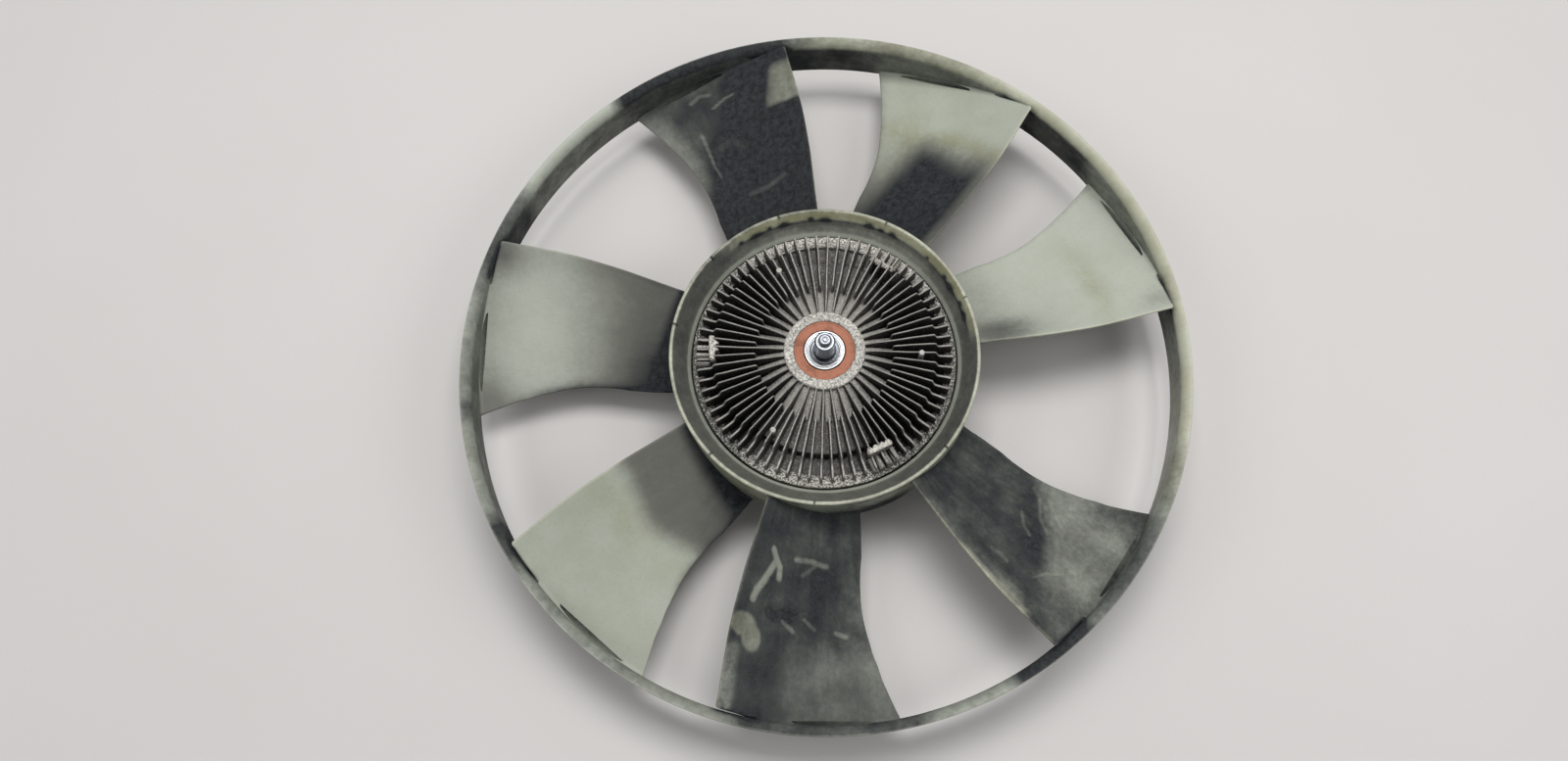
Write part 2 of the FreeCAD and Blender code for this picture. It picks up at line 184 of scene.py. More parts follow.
def lathe(bag, profile, seg=256, closed=True, wobble=None, **attrs):
    """Turns a profile about Z. An open profile starts and ends on the axis."""
    pr = np.array(profile, float)
    n = len(pr)
    th = np.arange(seg) * 2 * math.pi / seg
    verts, faces = [], []
    idx = []
    cnt = 0
    for i in range(n):
        r, z = pr[i]
        if abs(r) < 1e-6:
            verts.append([[0, 0, z]])
            idx.append((cnt, 1))
            cnt += 1
        else:
            rr = np.full(seg, r)
            zz = np.full(seg, z)
            if wobble is not None:
                dr, dz = wobble(r, z, th)
                rr = rr + dr
                zz = zz + dz
            verts.append(np.c_[rr * np.cos(th), rr * np.sin(th), zz])
            idx.append((cnt, seg))
            cnt += seg
    last = n if closed else n - 1
    for i in range(last):
        (a, na), (b, nb) = idx[i], idx[(i + 1) % n]
        if na == 1 and nb == 1:
            continue
        for j in range(seg):
            k = (j + 1) % seg
            if na == 1:
                faces.append((a, b + j, b + k))
            elif nb == 1:
                faces.append((a + j, b, a + k))
            else:
                faces.append((a + j, b + j, b + k, a + k))
    V = np.concatenate([np.asarray(v, float).reshape(-1, 3) for v in verts])
    at = {}
    for key, fn in attrs.items():
        at[key] = fn(V) if callable(fn) else fn
    # faces are turned outward by the sign of the profile's area
    area = 0.0
    for i in range(n):
        r0, z0 = pr[i]
        r1, z1 = pr[(i + 1) % n]
        area += r0 * z1 - r1 * z0
    if area < 0:
        faces = [tuple(reversed(q)) for q in faces]
    bag.add(V, faces, **at)


def loft(bag, sections, caps=True, ring=True, flip=False, **attrs):
    """Skins equal-length closed sections."""
    S = np.asarray(sections, float)
    ns, m_, _ = S.shape
    V = S.reshape(-1, 3)
    F = []
    for i in range(ns - 1):
        for j in range(m_ if ring else m_ - 1):
            k = (j + 1) % m_
            F.append((i * m_ + j, i * m_ + k, (i + 1) * m_ + k, (i + 1) * m_ + j))
    if caps:
        F.append(tuple(range(m_ - 1, -1, -1)))
        F.append(tuple(range((ns - 1) * m_, ns * m_)))
    if flip:
        F = [tuple(reversed(q)) for q in F]
    at = {}
    for key, fn in attrs.items():
        at[key] = fn(V) if callable(fn) else fn
    bag.add(V, F, **at)


def spin(V, deg):
    a = math.radians(deg)
    c, s = math.cos(a), math.sin(a)
    V = np.asarray(V, float)
    out = V.copy()
    out[..., 0] = V[..., 0] * c - V[..., 1] * s
    out[..., 1] = V[..., 0] * s + V[..., 1] * c
    return out


def smooth01(x):
    x = np.clip(x, 0, 1)
    return x * x * (3 - 2 * x)


def pchip(xs, ys, x):
    """Smooth monotone-ish cubic through the table."""
    xs, ys = np.asarray(xs, float), np.asarray(ys, float)
    x = np.asarray(x, float)
    h = np.diff(xs)
    d = np.diff(ys) / h
    g = np.zeros_like(ys)
    g[1:-1] = (d[:-1] * h[1:] + d[1:] * h[:-1]) / (h[:-1] + h[1:])
    g[0], g[-1] = d[0], d[-1]
    i = np.clip(np.searchsorted(xs, x) - 1, 0, len(h) - 1)
    t = (x - xs[i]) / h[i]
    t = np.clip(t, -0.5, 1.5)
    h00 = 2 * t**3 - 3 * t**2 + 1
    h10 = t**3 - 2 * t**2 + t
    h01 = -2 * t**3 + 3 * t**2
    h11 = t**3 - t**2
    return h00 * ys[i] + h10 * h[i] * g[i] + h01 * ys[i + 1] + h11 * h[i] * g[i + 1]


# =====================================================================
# material helpers
# =====================================================================
class M:
    """A node material under construction."""

    def __init__(self, name):
        self.mat = bpy.data.materials.new(name)
        self.mat.use_nodes = True
        self.t = self.mat.node_tree
        self.n, self.l = self.t.nodes, self.t.links
        self.n.clear()
        self.out = self.n.new("ShaderNodeOutputMaterial")
        self.b = self.n.new("ShaderNodeBsdfPrincipled")
        self.l.new(self.b.outputs[0], self.out.inputs[0])
        self.co = self.n.new("ShaderNodeTexCoord").outputs["Object"]

    def put(self, socket, value):
        s = self.b.inputs[socket]
        if hasattr(value, "links") or isinstance(value, bpy.types.NodeSocket):
            self.l.new(value, s)
        else:
            s.default_value = value

    def link(self, a, b):
        if isinstance(a, bpy.types.NodeSocket):
            self.l.new(a, b)
        else:
            b.default_value = a

    def scaled(self, sx, sy, sz, rot=(0, 0, 0), co=None):
        mp = self.n.new("ShaderNodeMapping")
        mp.inputs["Scale"].default_value = (sx, sy, sz)
        mp.inputs["Rotation"].default_value = rot
        self.l.new(co or self.co, mp.inputs["Vector"])
        return mp.outputs[0]

    def noise(self, scale, detail=3.0, rough=0.5, co=None, distort=0.0):
        nd = self.n.new("ShaderNodeTexNoise")
        nd.inputs["Scale"].default_value = scale
        nd.inputs["Detail"].default_value = detail
        nd.inputs["Roughness"].default_value = rough
        nd.inputs["Distortion"].default_value = distort
        self.l.new(co or self.co, nd.inputs["Vector"])
        return nd.outputs["Fac"]

    def voronoi(self, scale, co=None, feature="F1"):
        nd = self.n.new("ShaderNodeTexVoronoi")
        nd.feature = feature
        nd.inputs["Scale"].default_value = scale
        self.l.new(co or self.co, nd.inputs["Vector"])
        return nd.outputs["Distance"]

    def attr(self, name):
        nd = self.n.new("ShaderNodeAttribute")
        nd.attribute_name = name
        return nd.outputs["Fac"]

    def math(self, op, a, b=0.0, c=None, clamp=False):
        nd = self.n.new("ShaderNodeMath")
        nd.operation = op
        nd.use_clamp = clamp
        self.link(a, nd.inputs[0])
        self.link(b, nd.inputs[1])
        if c is not None:
            self.link(c, nd.inputs[2])
        return nd.outputs[0]

    def remap(self, x, a, b, c=0.0, d=1.0, smooth=True):
        nd = self.n.new("ShaderNodeMapRange")
        nd.interpolation_type = "SMOOTHSTEP" if smooth else "LINEAR"
        self.link(x, nd.inputs["Value"])
        nd.inputs["From Min"].default_value = a
        nd.inputs["From Max"].default_value = b
        nd.inputs["To Min"].default_value = c
        nd.inputs["To Max"].default_value = d
        return nd.outputs["Result"]

    def mix(self, f, a, b, mode="MIX"):
        nd = self.n.new("ShaderNodeMix")
        nd.data_type = "RGBA"
        nd.blend_type = mode
        nd.clamp_factor = True
        self.link(f, nd.inputs["Factor"])
        for v, s in ((a, nd.inputs[6]), (b, nd.inputs[7])):
            if isinstance(v, bpy.types.NodeSocket):
                self.l.new(v, s)
            else:
                s.default_value = (v[0], v[1], v[2], 1.0)
        return nd.outputs[2]

    def sep(self, co=None):
        nd = self.n.new("ShaderNodeSeparateXYZ")
        self.l.new(co or self.co, nd.inputs[0])
        return nd.outputs

    def polar(self, kr=1.0, ka=1.0, kz=1.0):
        """Coordinates (radius, angle, height) of the part's own axis, for streaks that follow the turning."""
        x, y, z = self.sep()
        r = self.math("SQRT", self.math("ADD", self.math("MULTIPLY", x, x), self.math("MULTIPLY", y, y)))
        a = self.math("ARCTAN2", y, x)
        cb = self.n.new("ShaderNodeCombineXYZ")
        self.l.new(self.math("MULTIPLY", r, kr), cb.inputs[0])
        self.l.new(self.math("MULTIPLY", a, ka), cb.inputs[1])
        self.l.new(self.math("MULTIPLY", z, kz), cb.inputs[2])
        return cb.outputs[0], r, a, z

    def bump(self, height, strength, distance, normal=None):
        nd = self.n.new("ShaderNodeBump")
        nd.inputs["Strength"].default_value = strength
        nd.inputs["Distance"].default_value = distance
        self.l.new(height, nd.inputs["Height"])
        if normal is not None:
            self.l.new(normal, nd.inputs["Normal"])
        return nd.outputs[0]


def srgb(r, g, b):
    out = []
    for c in (r, g, b):
        c = c / 255.0
        out.append(c / 12.92 if c <= 0.04045 else ((c + 0.055) / 1.055) ** 2.4)
    return tuple(out)


def nylon_material(name="natural_nylon"):
    q = M(name)
    pol, r, a, z = q.polar(1.0, 0.16, 1.0)
    big = q.noise(8.0, 4.0, 0.55)
    mid = q.noise(42.0, 5.0, 0.62)
    fine = q.noise(260.0, 4.0, 0.68)
    grit = q.noise(1100.0, 2.0, 0.6)
    streak = q.noise(75.0, 5.0, 0.65, q.scaled(0.22, 1.0, 1.0, co=pol))
    soot, film, pale, olive, cream, rag = (q.attr(k) for k in ("soot", "film", "pale", "olive", "cream", "rag"))
    base = q.mix(big, srgb(152, 157, 146), srgb(172, 176, 163))
    base = q.mix(q.math("MULTIPLY", q.remap(mid, 0.35, 0.75), 0.35), base, srgb(146, 146, 128))
    # pale patches, which on the hub cone are a painted sheen
    base = q.mix(pale, base, srgb(190, 194, 181))
    # cream, which also carries painted highlights: the line along each blade's high edge and the ring's lip
    base = q.mix(cream, base, srgb(206, 203, 176))
    ol = q.math("MULTIPLY", olive, q.remap(q.math("ADD", mid, q.math("MULTIPLY", fine, 0.4)), 0.45, 0.85, 0.35, 1.0))
    base = q.mix(ol, base, srgb(132, 130, 80))
    wob = q.math("MULTIPLY", q.math("SUBTRACT", mid, 0.5), 1.1)
    wob = q.math("ADD", wob, q.math("MULTIPLY", q.math("SUBTRACT", fine, 0.5), 1.0))
    wob = q.math("ADD", wob, q.math("MULTIPLY", q.math("SUBTRACT", streak, 0.5), 0.9))

    def layer(amount, k, kr):
        """Noise breaks a layer up only where it is neither bare nor solid."""
        win = q.math("MULTIPLY", q.math("MULTIPLY", amount, q.math("SUBTRACT", 1.05, amount)), 4.0)
        amp = q.math("ADD", k, q.math("MULTIPLY", rag, kr))
        return q.math("ADD", amount, q.math("MULTIPLY", q.math("MULTIPLY", win, amp), wob), clamp=True)

    # grey film, which also carries painted shade toward the blades' low edges
    fm = layer(film, 0.30, 0.35)
    base = q.mix(q.math("MULTIPLY", fm, 0.88), base, q.mix(mid, srgb(84, 83, 76), srgb(104, 103, 95)))
    # black soot, which also carries painted shade: along the blades' low edges, in the wedges at the blade tips and on
    # the ring's inner wall
    so = q.remap(layer(soot, 0.16, 1.0), 0.08, 0.90, smooth=False)
    soot_and_shade_col = q.mix(q.remap(q.math("ADD", q.math("MULTIPLY", fine, 0.7), q.math("MULTIPLY", grit, 0.3)), 0.28, 0.72), srgb(15, 17, 21), srgb(55, 57, 61))
    base = q.mix(q.math("MULTIPLY", so, 0.97), base, soot_and_shade_col)
    # grains of grit everywhere, more of them where the dirt is thick
    sp = q.remap(grit, 0.62, 0.70)
    base = q.mix(q.math("MULTIPLY", sp, 0.30), base, srgb(66, 64, 57))
    # thin scuffs through the dirt
    sc = q.noise(60.0, 7.0, 0.78, q.scaled(1.0, 0.10, 1.0, (0.2, 0.1, 0.6)), 0.7)
    sc2 = q.noise(48.0, 7.0, 0.78, q.scaled(0.12, 1.0, 1.0, (0.1, 0.3, 0.35)), 0.9)
    scm = q.math("MAXIMUM", q.remap(sc, 0.665, 0.70), q.remap(sc2, 0.675, 0.71))
    scm = q.math("MULTIPLY", scm, q.math("MULTIPLY", q.math("MAXIMUM", so, film), q.math("MULTIPLY", rag, 0.42)))
    base = q.mix(scm, base, srgb(142, 143, 130))
    q.put("Base Color", base)
    rg = q.math("ADD", q.math("MULTIPLY", so, 0.14), q.math("ADD", 0.40, q.math("MULTIPLY", mid, 0.16)))
    q.put("Roughness", q.math("ADD", rg, q.math("MULTIPLY", so, 0.15)))
    q.put("Specular IOR Level", q.math("SUBTRACT", 0.42, q.math("MULTIPLY", so, 0.34)))
    h = q.math("ADD", q.math("MULTIPLY", fine, 0.5), q.math("MULTIPLY", q.math("MULTIPLY", so, grit), 0.45))
    q.put("Normal", q.bump(h, 0.22, 0.0004))
    return q.mat


def casting_material(name="die_cast_aluminium", dark=1.0):
    q = M(name)
    grit = q.noise(820.0, 3.0, 0.75)
    fine = q.noise(480.0, 4.0, 0.68)
    mid = q.noise(90.0, 4.0, 0.6)
    big = q.noise(18.0, 3.0, 0.5)
    top, deep, spk = q.attr("top"), q.attr("deep"), q.attr("speck")
    base = q.mix(mid, srgb(104, 102, 98), srgb(138, 135, 130))
    # lighter tops: bare metal, partly a painted highlight where the light catches the tops
    base = q.mix(q.math("MULTIPLY", top, q.remap(fine, 0.3, 0.7, 0.6, 1.0)), base, srgb(188, 184, 176))
    # black painted shade in the depths, mixed with grease and road dirt, granular where it thins out
    win = q.math("MULTIPLY", q.math("MULTIPLY", deep, q.math("SUBTRACT", 1.1, deep)), 4.0)
    wob = q.math("ADD", q.math("MULTIPLY", q.math("SUBTRACT", big, 0.5), 0.6), q.math("MULTIPLY", q.math("SUBTRACT", fine, 0.5), 1.1))
    dm = q.math("ADD", deep, q.math("MULTIPLY", win, q.math("MULTIPLY", wob, 0.8)), clamp=True)
    base = q.mix(q.math("MULTIPLY", dm, 0.96 * dark), base, q.mix(q.remap(grit, 0.35, 0.65), srgb(15, 15, 15), srgb(58, 57, 55)))
    # white oxide and dust grains
    ox = q.remap(q.math("ADD", grit, q.math("MULTIPLY", spk, 0.09)), 0.60, 0.67)
    base = q.mix(q.math("MULTIPLY", ox, q.math("ADD", 0.22, q.math("MULTIPLY", spk, 0.62))), base, srgb(214, 211, 200))
    pit = q.remap(q.math("SUBTRACT", grit, q.math("MULTIPLY", spk, 0.04)), 0.42, 0.35)
    base = q.mix(q.math("MULTIPLY", pit, q.math("ADD", 0.35, q.math("MULTIPLY", spk, 0.3))), base, srgb(46, 44, 42))
    q.put("Base Color", base)
    q.put("Metallic", 0.2)
    q.put("Specular IOR Level", q.math("SUBTRACT", 0.5, q.math("MULTIPLY", dm, 0.42)))
    q.put("Roughness", q.math("ADD", 0.48, q.math("MULTIPLY", fine, 0.25)))
    q.put("Normal", q.bump(q.math("ADD", fine, q.math("MULTIPLY", grit, 0.7)), 0.65, 0.0005))
    return q.mat


def steel_material(name, c0, c1, rough0, rough1, metallic=1.0, turned=False, rust=0.0, bump=0.15):
    q = M(name)
    fine = q.noise(600.0, 4.0, 0.6)
    mid = q.noise(110.0, 4.0, 0.6)
    big = q.noise(30.0, 3.0, 0.5)
    col = q.mix(mid, c0, c1)
    dirt = q.remap(q.math("ADD", big, q.math("MULTIPLY", fine, 0.3)), 0.62, 0.85)
    col = q.mix(q.math("MULTIPLY", dirt, 0.6), col, tuple(0.3 * c for c in c0))
    if rust > 0:
        ru = q.remap(q.math("ADD", mid, q.math("MULTIPLY", fine, 0.35)), 0.68, 0.86, 0.0, rust)
        col = q.mix(ru, col, srgb(96, 62, 40))
    q.put("Base Color", col)
    q.put("Metallic", metallic)
    if turned:
        pol, r, a, z = q.polar(1.0, 0.004, 1.0)
        lines = q.noise(2600.0, 2.0, 0.5, pol)
        q.put("Roughness", q.math("ADD", rough0, q.math("MULTIPLY", lines, rough1 - rough0)))
        q.put("Normal", q.bump(lines, bump, 0.0003))
    else:
        q.put("Roughness", q.math("ADD", rough0, q.math("MULTIPLY", fine, rough1 - rough0)))
        q.put("Normal", q.bump(fine, bump, 0.0003))
    return q.mat


def rubber_material(name, c0, c1, rough=0.7, turned=True):
    q = M(name)
    fine = q.noise(700.0, 4.0, 0.65)
    mid = q.noise(120.0, 4.0, 0.6)
    pol, r, a, z = q.polar(1.0, 0.01, 1.0)
    rings = q.noise(1500.0, 2.0, 0.5, pol)
    col = q.mix(mid, c0, c1)
    darkness = q.remap(q.math("ADD", mid, q.math("MULTIPLY", fine, 0.5)), 0.70, 0.95)
    col = q.mix(q.math("MULTIPLY", darkness, 0.55), col, tuple(0.25 * c for c in c0))
    dust = q.remap(fine, 0.62, 0.72)
    col = q.mix(q.math("MULTIPLY", dust, 0.25), col, srgb(190, 170, 150))
    q.put("Base Color", col)
    q.put("Roughness", q.math("ADD", rough, q.math("MULTIPLY", fine, 0.2)))
    q.put("Normal", q.bump(rings if turned else fine, 0.25, 0.0003))
    return q.mat


MAT_NYLON = nylon_material()
MAT_CAST = casting_material()
MAT_CAST_IN = casting_material("machined_aluminium", dark=0.15)
MAT_BRIGHT = steel_material("polished_bearing_steel", srgb(150, 151, 153), srgb(188, 188, 189), 0.26, 0.50, turned=True, bump=0.14)
MAT_SHAFT = steel_material("dark_turned_steel", srgb(112, 116, 122), srgb(156, 160, 166), 0.24, 0.46, turned=True, rust=0.2)
MAT_SHEET = steel_material("cold_rolled_steel", srgb(150, 152, 156), srgb(176, 178, 180), 0.32, 0.5)
MAT_ZINC = steel_material("zinc_plated_steel", srgb(165, 166, 160), srgb(196, 196, 188), 0.3, 0.52, rust=0.35)
MAT_SEAL = rubber_material("terracotta_seal", srgb(156, 99, 77), srgb(184, 122, 96))
MAT_ORING = rubber_material("black_rubber", srgb(22, 22, 23), srgb(36, 36, 37), 0.55, turned=False)
MAT_CAGE = rubber_material("brown_polymer", srgb(120, 100, 76), srgb(142, 120, 92), 0.45, turned=False)
MAT_BRONZE = steel_material("sintered_bronze", srgb(150, 106, 60), srgb(182, 134, 82), 0.4, 0.6)
MAT_BIMETAL = steel_material("bimetal_strip", srgb(150, 132, 104), srgb(178, 158, 128), 0.28, 0.48, rust=0.2)

# carried-over CAD nodes (inner works) get their own finishes
for node, mt in {
    "drive_rotor": MAT_CAST_IN, "bearing_outer_race": MAT_BRIGHT, "bearing_balls": MAT_BRIGHT, "bearing_cage": MAT_CAGE,
    "bearing_front_seal": MAT_ORING, "cover_o_ring": MAT_ORING, "separator_plate": MAT_SHEET, "pump_wiper": MAT_CAGE,
    "valve_arm": MAT_SHEET, "valve_bush": MAT_BRONZE, "valve_o_ring": MAT_ORING, "fan_flange_sleeves": MAT_ZINC,
    "coil_anchor_post": MAT_ZINC, "bearing_inner_race": MAT_BRIGHT, "input_shaft": MAT_SHAFT, "bimetal_coil": MAT_BIMETAL,
    "valve_shaft": MAT_SHAFT, "bearing_rear_seal": MAT_SEAL, "fan_bolts": MAT_ZINC, "cover_screws": MAT_ZINC,
    "rear_housing": MAT_CAST, "front_cover": MAT_CAST, "fan_hub": MAT_NYLON, "fan_blades": MAT_NYLON,
    "fan_outer_ring": MAT_NYLON,
}.items():
    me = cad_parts[node].data
    me.materials.clear()
    me.materials.append(mt)

# =====================================================================
# dirt, painted shade and painted highlights on the moulding: soot (black), film (grey), pale,
# olive and cream amounts as smooth functions of place; soot and film also carry painted shade, pale a painted sheen,
# cream painted highlights
# =====================================================================
BLADE_MIDS = [172.9, 110.2, 64.9, 21.7, -39.6, -93.1, -134.4]


def spot(x, y, cx, cy, sx, sy, amp=1.0, rot=0.0):
    c, s = math.cos(rot), math.sin(rot)
    u, v = x - cx, y - cy
    p, q = (u * c + v * s) / sx, (-u * s + v * c) / sy
    return amp * np.exp(-0.5 * (p * p + q * q))


def ramp(x, a, b):
    return smooth01((x - a) / (b - a))


def stroke(rho, s, pts, width, amp=1.0):
    """A scrape along a broken line; lengths in mm on the blade."""
    x, y = rho * 138.0, s * 92.0
    d = np.full(np.shape(x), 1e9)
    for (a, b), (c, e) in zip(pts[:-1], pts[1:]):
        ax, ay, bx, by = a * 138.0, b * 92.0, c * 138.0, e * 92.0
        L = max((bx - ax) ** 2 + (by - ay) ** 2, 1e-9)
        t = np.clip(((x - ax) * (bx - ax) + (y - ay) * (by - ay)) / L, 0, 1)
        d = np.minimum(d, np.hypot(x - ax - t * (bx - ax), y - ay - t * (by - ay)))
    return amp * smooth01((width - d) / (0.7 * width) + 0.3)


def blade_dirt_shade_and_highlight(i, rho, s, side):
    """Amounts of each layer. rho 0..1 root to tip, s 0..1 high edge to low edge, side +1 engine side."""
    z0 = np.zeros_like(rho)
    soot, film, pale, cream, olive, rag = (z0.copy() for _ in range(6))
    if side < 0:
        film = 0.45 + 0.3 * (1 - ramp(rho, 0.0, 0.4))
        soot = 0.5 * (1 - ramp(rho, 0.0, 0.3)) + spot(rho, s, 0.95, 0.5, 0.1, 0.5, 0.35)
        return soot, film, pale, cream, olive, rag + 0.5
    # painted shade: a dark band along the low edge
    low_edge_shade = np.exp(-(1 - s) / 0.032)
    if i == 0:
        film = 1.0 * (1 - ramp(rho + 0.14 * (s - 0.5), 0.04, 0.74)) + 0.08
        soot = 0.75 * (1 - ramp(rho, 0.0, 0.05 + 0.12 * s)) + spot(rho, s, 0.0, 1.0, 0.17, 0.28, 0.75) + 0.40 * (1 - ramp(rho + 0.1 * (s - 0.5), 0.03, 0.46))
        soot = soot + 0.7 * low_edge_shade * (1 - ramp(rho, 0.60, 0.98)) + spot(rho, s, 0.97, 0.04, 0.06, 0.12, 0.4) + 0.2 * (1 - ramp(s, 0.0, 0.05)) * (1 - ramp(rho, 0.3, 0.8))
        film = film + spot(rho, s, 0.95, 0.1, 0.10, 0.14, 0.55) + spot(rho, s, 0.97, 0.95, 0.10, 0.14, 0.55) + spot(rho, s, 0.55, 0.0, 0.35, 0.10, 0.35)
        # the terms in (1 - s) on these two lines are a broader painted shade toward the low edge
        film = film + 0.55 * np.exp(-(1 - s) / 0.10) + 0.18 * ramp(rho, 0.75, 1.0) + 0.22 * ramp(s, 0.2, 0.6) * (1 - ramp(rho, 0.3, 0.62))
        soot = soot + 0.22 * np.exp(-(1 - s) / 0.07) * (1 - ramp(rho, 0.3, 0.9))
        pale = 0.10 + spot(rho, s, 0.72, 0.6, 0.2, 0.3, 0.15)
        rag = rag + 0.15
    elif i == 1:
        patch = ramp(rho, 0.665, 0.70) * (1 - ramp(rho, 0.87, 0.95)) * (1 - ramp(s + 0.55 * (rho - 0.68), 0.22, 0.30))
        soot = 1.0 - 0.30 * ramp(0.8 * rho + 0.9 * s, 1.02, 1.50) - 0.32 * ramp(s, 0.84, 0.99) * ramp(rho, 0.30, 0.55) - 0.62 * patch + 0.24 * ramp(rho, 0.70, 0.92) * ramp(s, 0.45, 0.75)
        soot = soot - 0.12 * ramp(rho, 0.55, 0.9) * ramp(s, 0.3, 0.6)
        soot = soot - 0.10 * ramp(rho, 0.93, 0.99)
        for pts, w, k in (([(0.275, 0.28), (0.25, 0.45), (0.265, 0.64)], 2.6, 0.22), ([(0.85, 0.43), (0.845, 0.50), (0.825, 0.60)], 1.2, 0.26),
                          ([(0.91, 0.57), (0.93, 0.62), (0.915, 0.69)], 1.6, 0.22), ([(0.44, 0.83), (0.52, 0.835), (0.60, 0.81), (0.72, 0.775)], 1.1, 0.24),
                          ([(0.54, 0.54), (0.60, 0.62), (0.59, 0.70)], 4.0, 0.14), ([(0.30, 0.05), (0.42, 0.16)], 1.0, 0.10), ([(0.20, 0.55), (0.24, 0.72)], 3.0, 0.10)):
            soot = soot - stroke(rho, s, pts, w, k)
        film = z0 + 0.62
        olive = 0.45 * patch
        rag = rag + 0.22
    elif i == 2:
        dark = (1 - ramp(rho + 0.05 * np.sin(5.0 * s + 0.6), 0.46, 0.72)) * (1 - ramp(s + 0.70 * rho, 0.90, 1.24)) * (0.52 + 0.48 * ramp(s, 0.02, 0.15))
        soot = 0.93 * dark + 0.30 * low_edge_shade
        film = 0.85 * (1 - ramp(rho, 0.48, 0.74)) * (1 - ramp(s + 0.5 * rho, 0.90, 1.40)) + 0.60 * spot(rho, s, 0.14, 0.95, 0.14, 0.18, 1.0) + 0.35 * low_edge_shade + 0.08
        olive = spot(rho, s, 0.64, 0.35, 0.05, 0.4, 0.45) + spot(rho, s, 0.55, 0.8, 0.2, 0.1, 0.25) + 0.06
        pale = spot(rho, s, 0.85, 0.5, 0.18, 0.4, 0.10)
        rag = rag + 0.14
    elif i == 3:
        soot = spot(rho, s, 0.14, 0.12, 0.11, 0.11, 0.55) + 0.42 * (1 - ramp(rho, 0.0, 0.10)) * ramp(s, 0.25, 0.6) + 0.3 * low_edge_shade
        film = 0.42 * (1 - ramp(rho, 0.02, 0.30)) + 0.10 + spot(rho, s, 0.95, 0.08, 0.08, 0.06, 0.4) + spot(rho, s, 0.15, 0.13, 0.14, 0.14, 0.5)
        olive = spot(rho, s, 0.67, 0.35, 0.045, 0.26, 0.40)
        pale = z0 + 0.45
        rag = rag + 0.12
    elif i == 4:
        d_ = rho + 0.42 * (s - 0.5)
        light = ramp(d_, 0.60, 0.74) * ramp(s, 0.16, 0.40) * (1 - 0.45 * ramp(s, 0.78, 0.95) * ramp(rho, 0.6, 0.8)) * (1 - 0.4 * ramp(rho, 0.93, 1.0))
        light = np.minimum(light + spot(rho, s, 0.77, 0.32, 0.06, 0.05, 0.4), 1.0)
        top = np.minimum((1 - ramp(s, 0.015, 0.06)) * ramp(rho, 0.32, 0.42) * (1 - ramp(rho, 0.76, 0.84)) + spot(rho, s, 0.68, 0.05, 0.07, 0.045, 0.9), 1.0)
        soot = 0.83 - 0.44 * light - 0.50 * top - spot(rho, s, 0.97, 0.12, 0.08, 0.16, 0.15) - 0.16 * (1 - ramp(s, 0.0, 0.15)) * (1 - ramp(rho, 0.3, 0.6))
        soot = soot + spot(rho, s, 0.62, 0.50, 0.07, 0.10, 0.15)
        for pts, w, k in (([(0.46, 0.66), (0.50, 0.58), (0.56, 0.53)], 1.0, 0.20), ([(0.50, 0.84), (0.55, 0.70), (0.62, 0.62)], 1.0, 0.22), ([(0.54, 0.88), (0.59, 0.80), (0.66, 0.72)], 0.9, 0.2),
                          ([(0.45, 0.90), (0.55, 0.80)], 1.4, 0.16), ([(0.47, 0.21), (0.52, 0.23), (0.56, 0.22)], 1.8, 0.12), ([(0.70, 0.26), (0.73, 0.35), (0.78, 0.40)], 1.0, 0.18)):
            soot = soot - stroke(rho, s, pts, w, k)
        film = z0 + 0.60
        # the thin cream line at the high edge is a painted highlight
        cream = 0.35 * top + 0.8 * (1 - ramp(s, 0.0, 0.02)) * ramp(rho, 0.08, 0.2)
        rag = rag + 0.36
    elif i == 5:
        patch = ramp(np.maximum(spot(rho, s, 0.60, 0.09, 0.045, 0.08), spot(rho, s, 0.65, 0.16, 0.05, 0.055)), 0.35, 0.62)
        scr = np.maximum(stroke(rho, s, [(0.225, 0.20), (0.27, 0.25), (0.30, 0.295), (0.35, 0.305)], 2.3), stroke(rho, s, [(0.275, 0.25), (0.33, 0.215), (0.38, 0.185), (0.43, 0.14), (0.475, 0.125)], 2.6))
        scr2 = np.maximum(stroke(rho, s, [(0.245, 0.42), (0.24, 0.55), (0.26, 0.70)], 1.9), 0.55 * stroke(rho, s, [(0.26, 0.60), (0.315, 0.50)], 1.6))
        soot = 0.85 - 0.23 * ramp(rho, 0.58, 0.78) * ramp(s, 0.28, 0.52) - 0.10 * ramp(s, 0.80, 1.0) * ramp(rho, 0.3, 0.6)
        soot = soot - 0.48 * patch - 0.58 * scr - 0.34 * scr2
        soot = soot - 0.45 * (1 - ramp(s, 0.04, 0.11)) * ramp(rho, 0.66, 0.74)
        for pts, w, k in (([(0.54, 0.38), (0.58, 0.46)], 1.6, 0.25), ([(0.575, 0.78), (0.59, 0.84)], 1.8, 0.28), ([(0.52, 0.55), (0.56, 0.62)], 1.4, 0.2)):
            soot = soot - stroke(rho, s, pts, w, k)
        for cx, cy in ((0.515, 0.27), (0.53, 0.31), (0.52, 0.35), (0.51, 0.39), (0.525, 0.42), (0.50, 0.455)):
            soot = soot + spot(rho, s, cx, cy, 0.012, 0.017, 0.5)
        film = z0 + 0.60
        cream = 0.10 * patch + 0.15 * scr
        olive = 0.45 * patch
        rag = rag + 0.34 - 0.16 * ramp(rho, 0.6, 0.75) + 0.4 * (1 - ramp(s, 0.04, 0.11)) * ramp(rho, 0.66, 0.74)
    else:
        edge = rho + 0.025 * np.sin(7 * s + 0.6)
        film = 0.92 * (1 - ramp(edge, 0.33, 0.46)) + 0.07
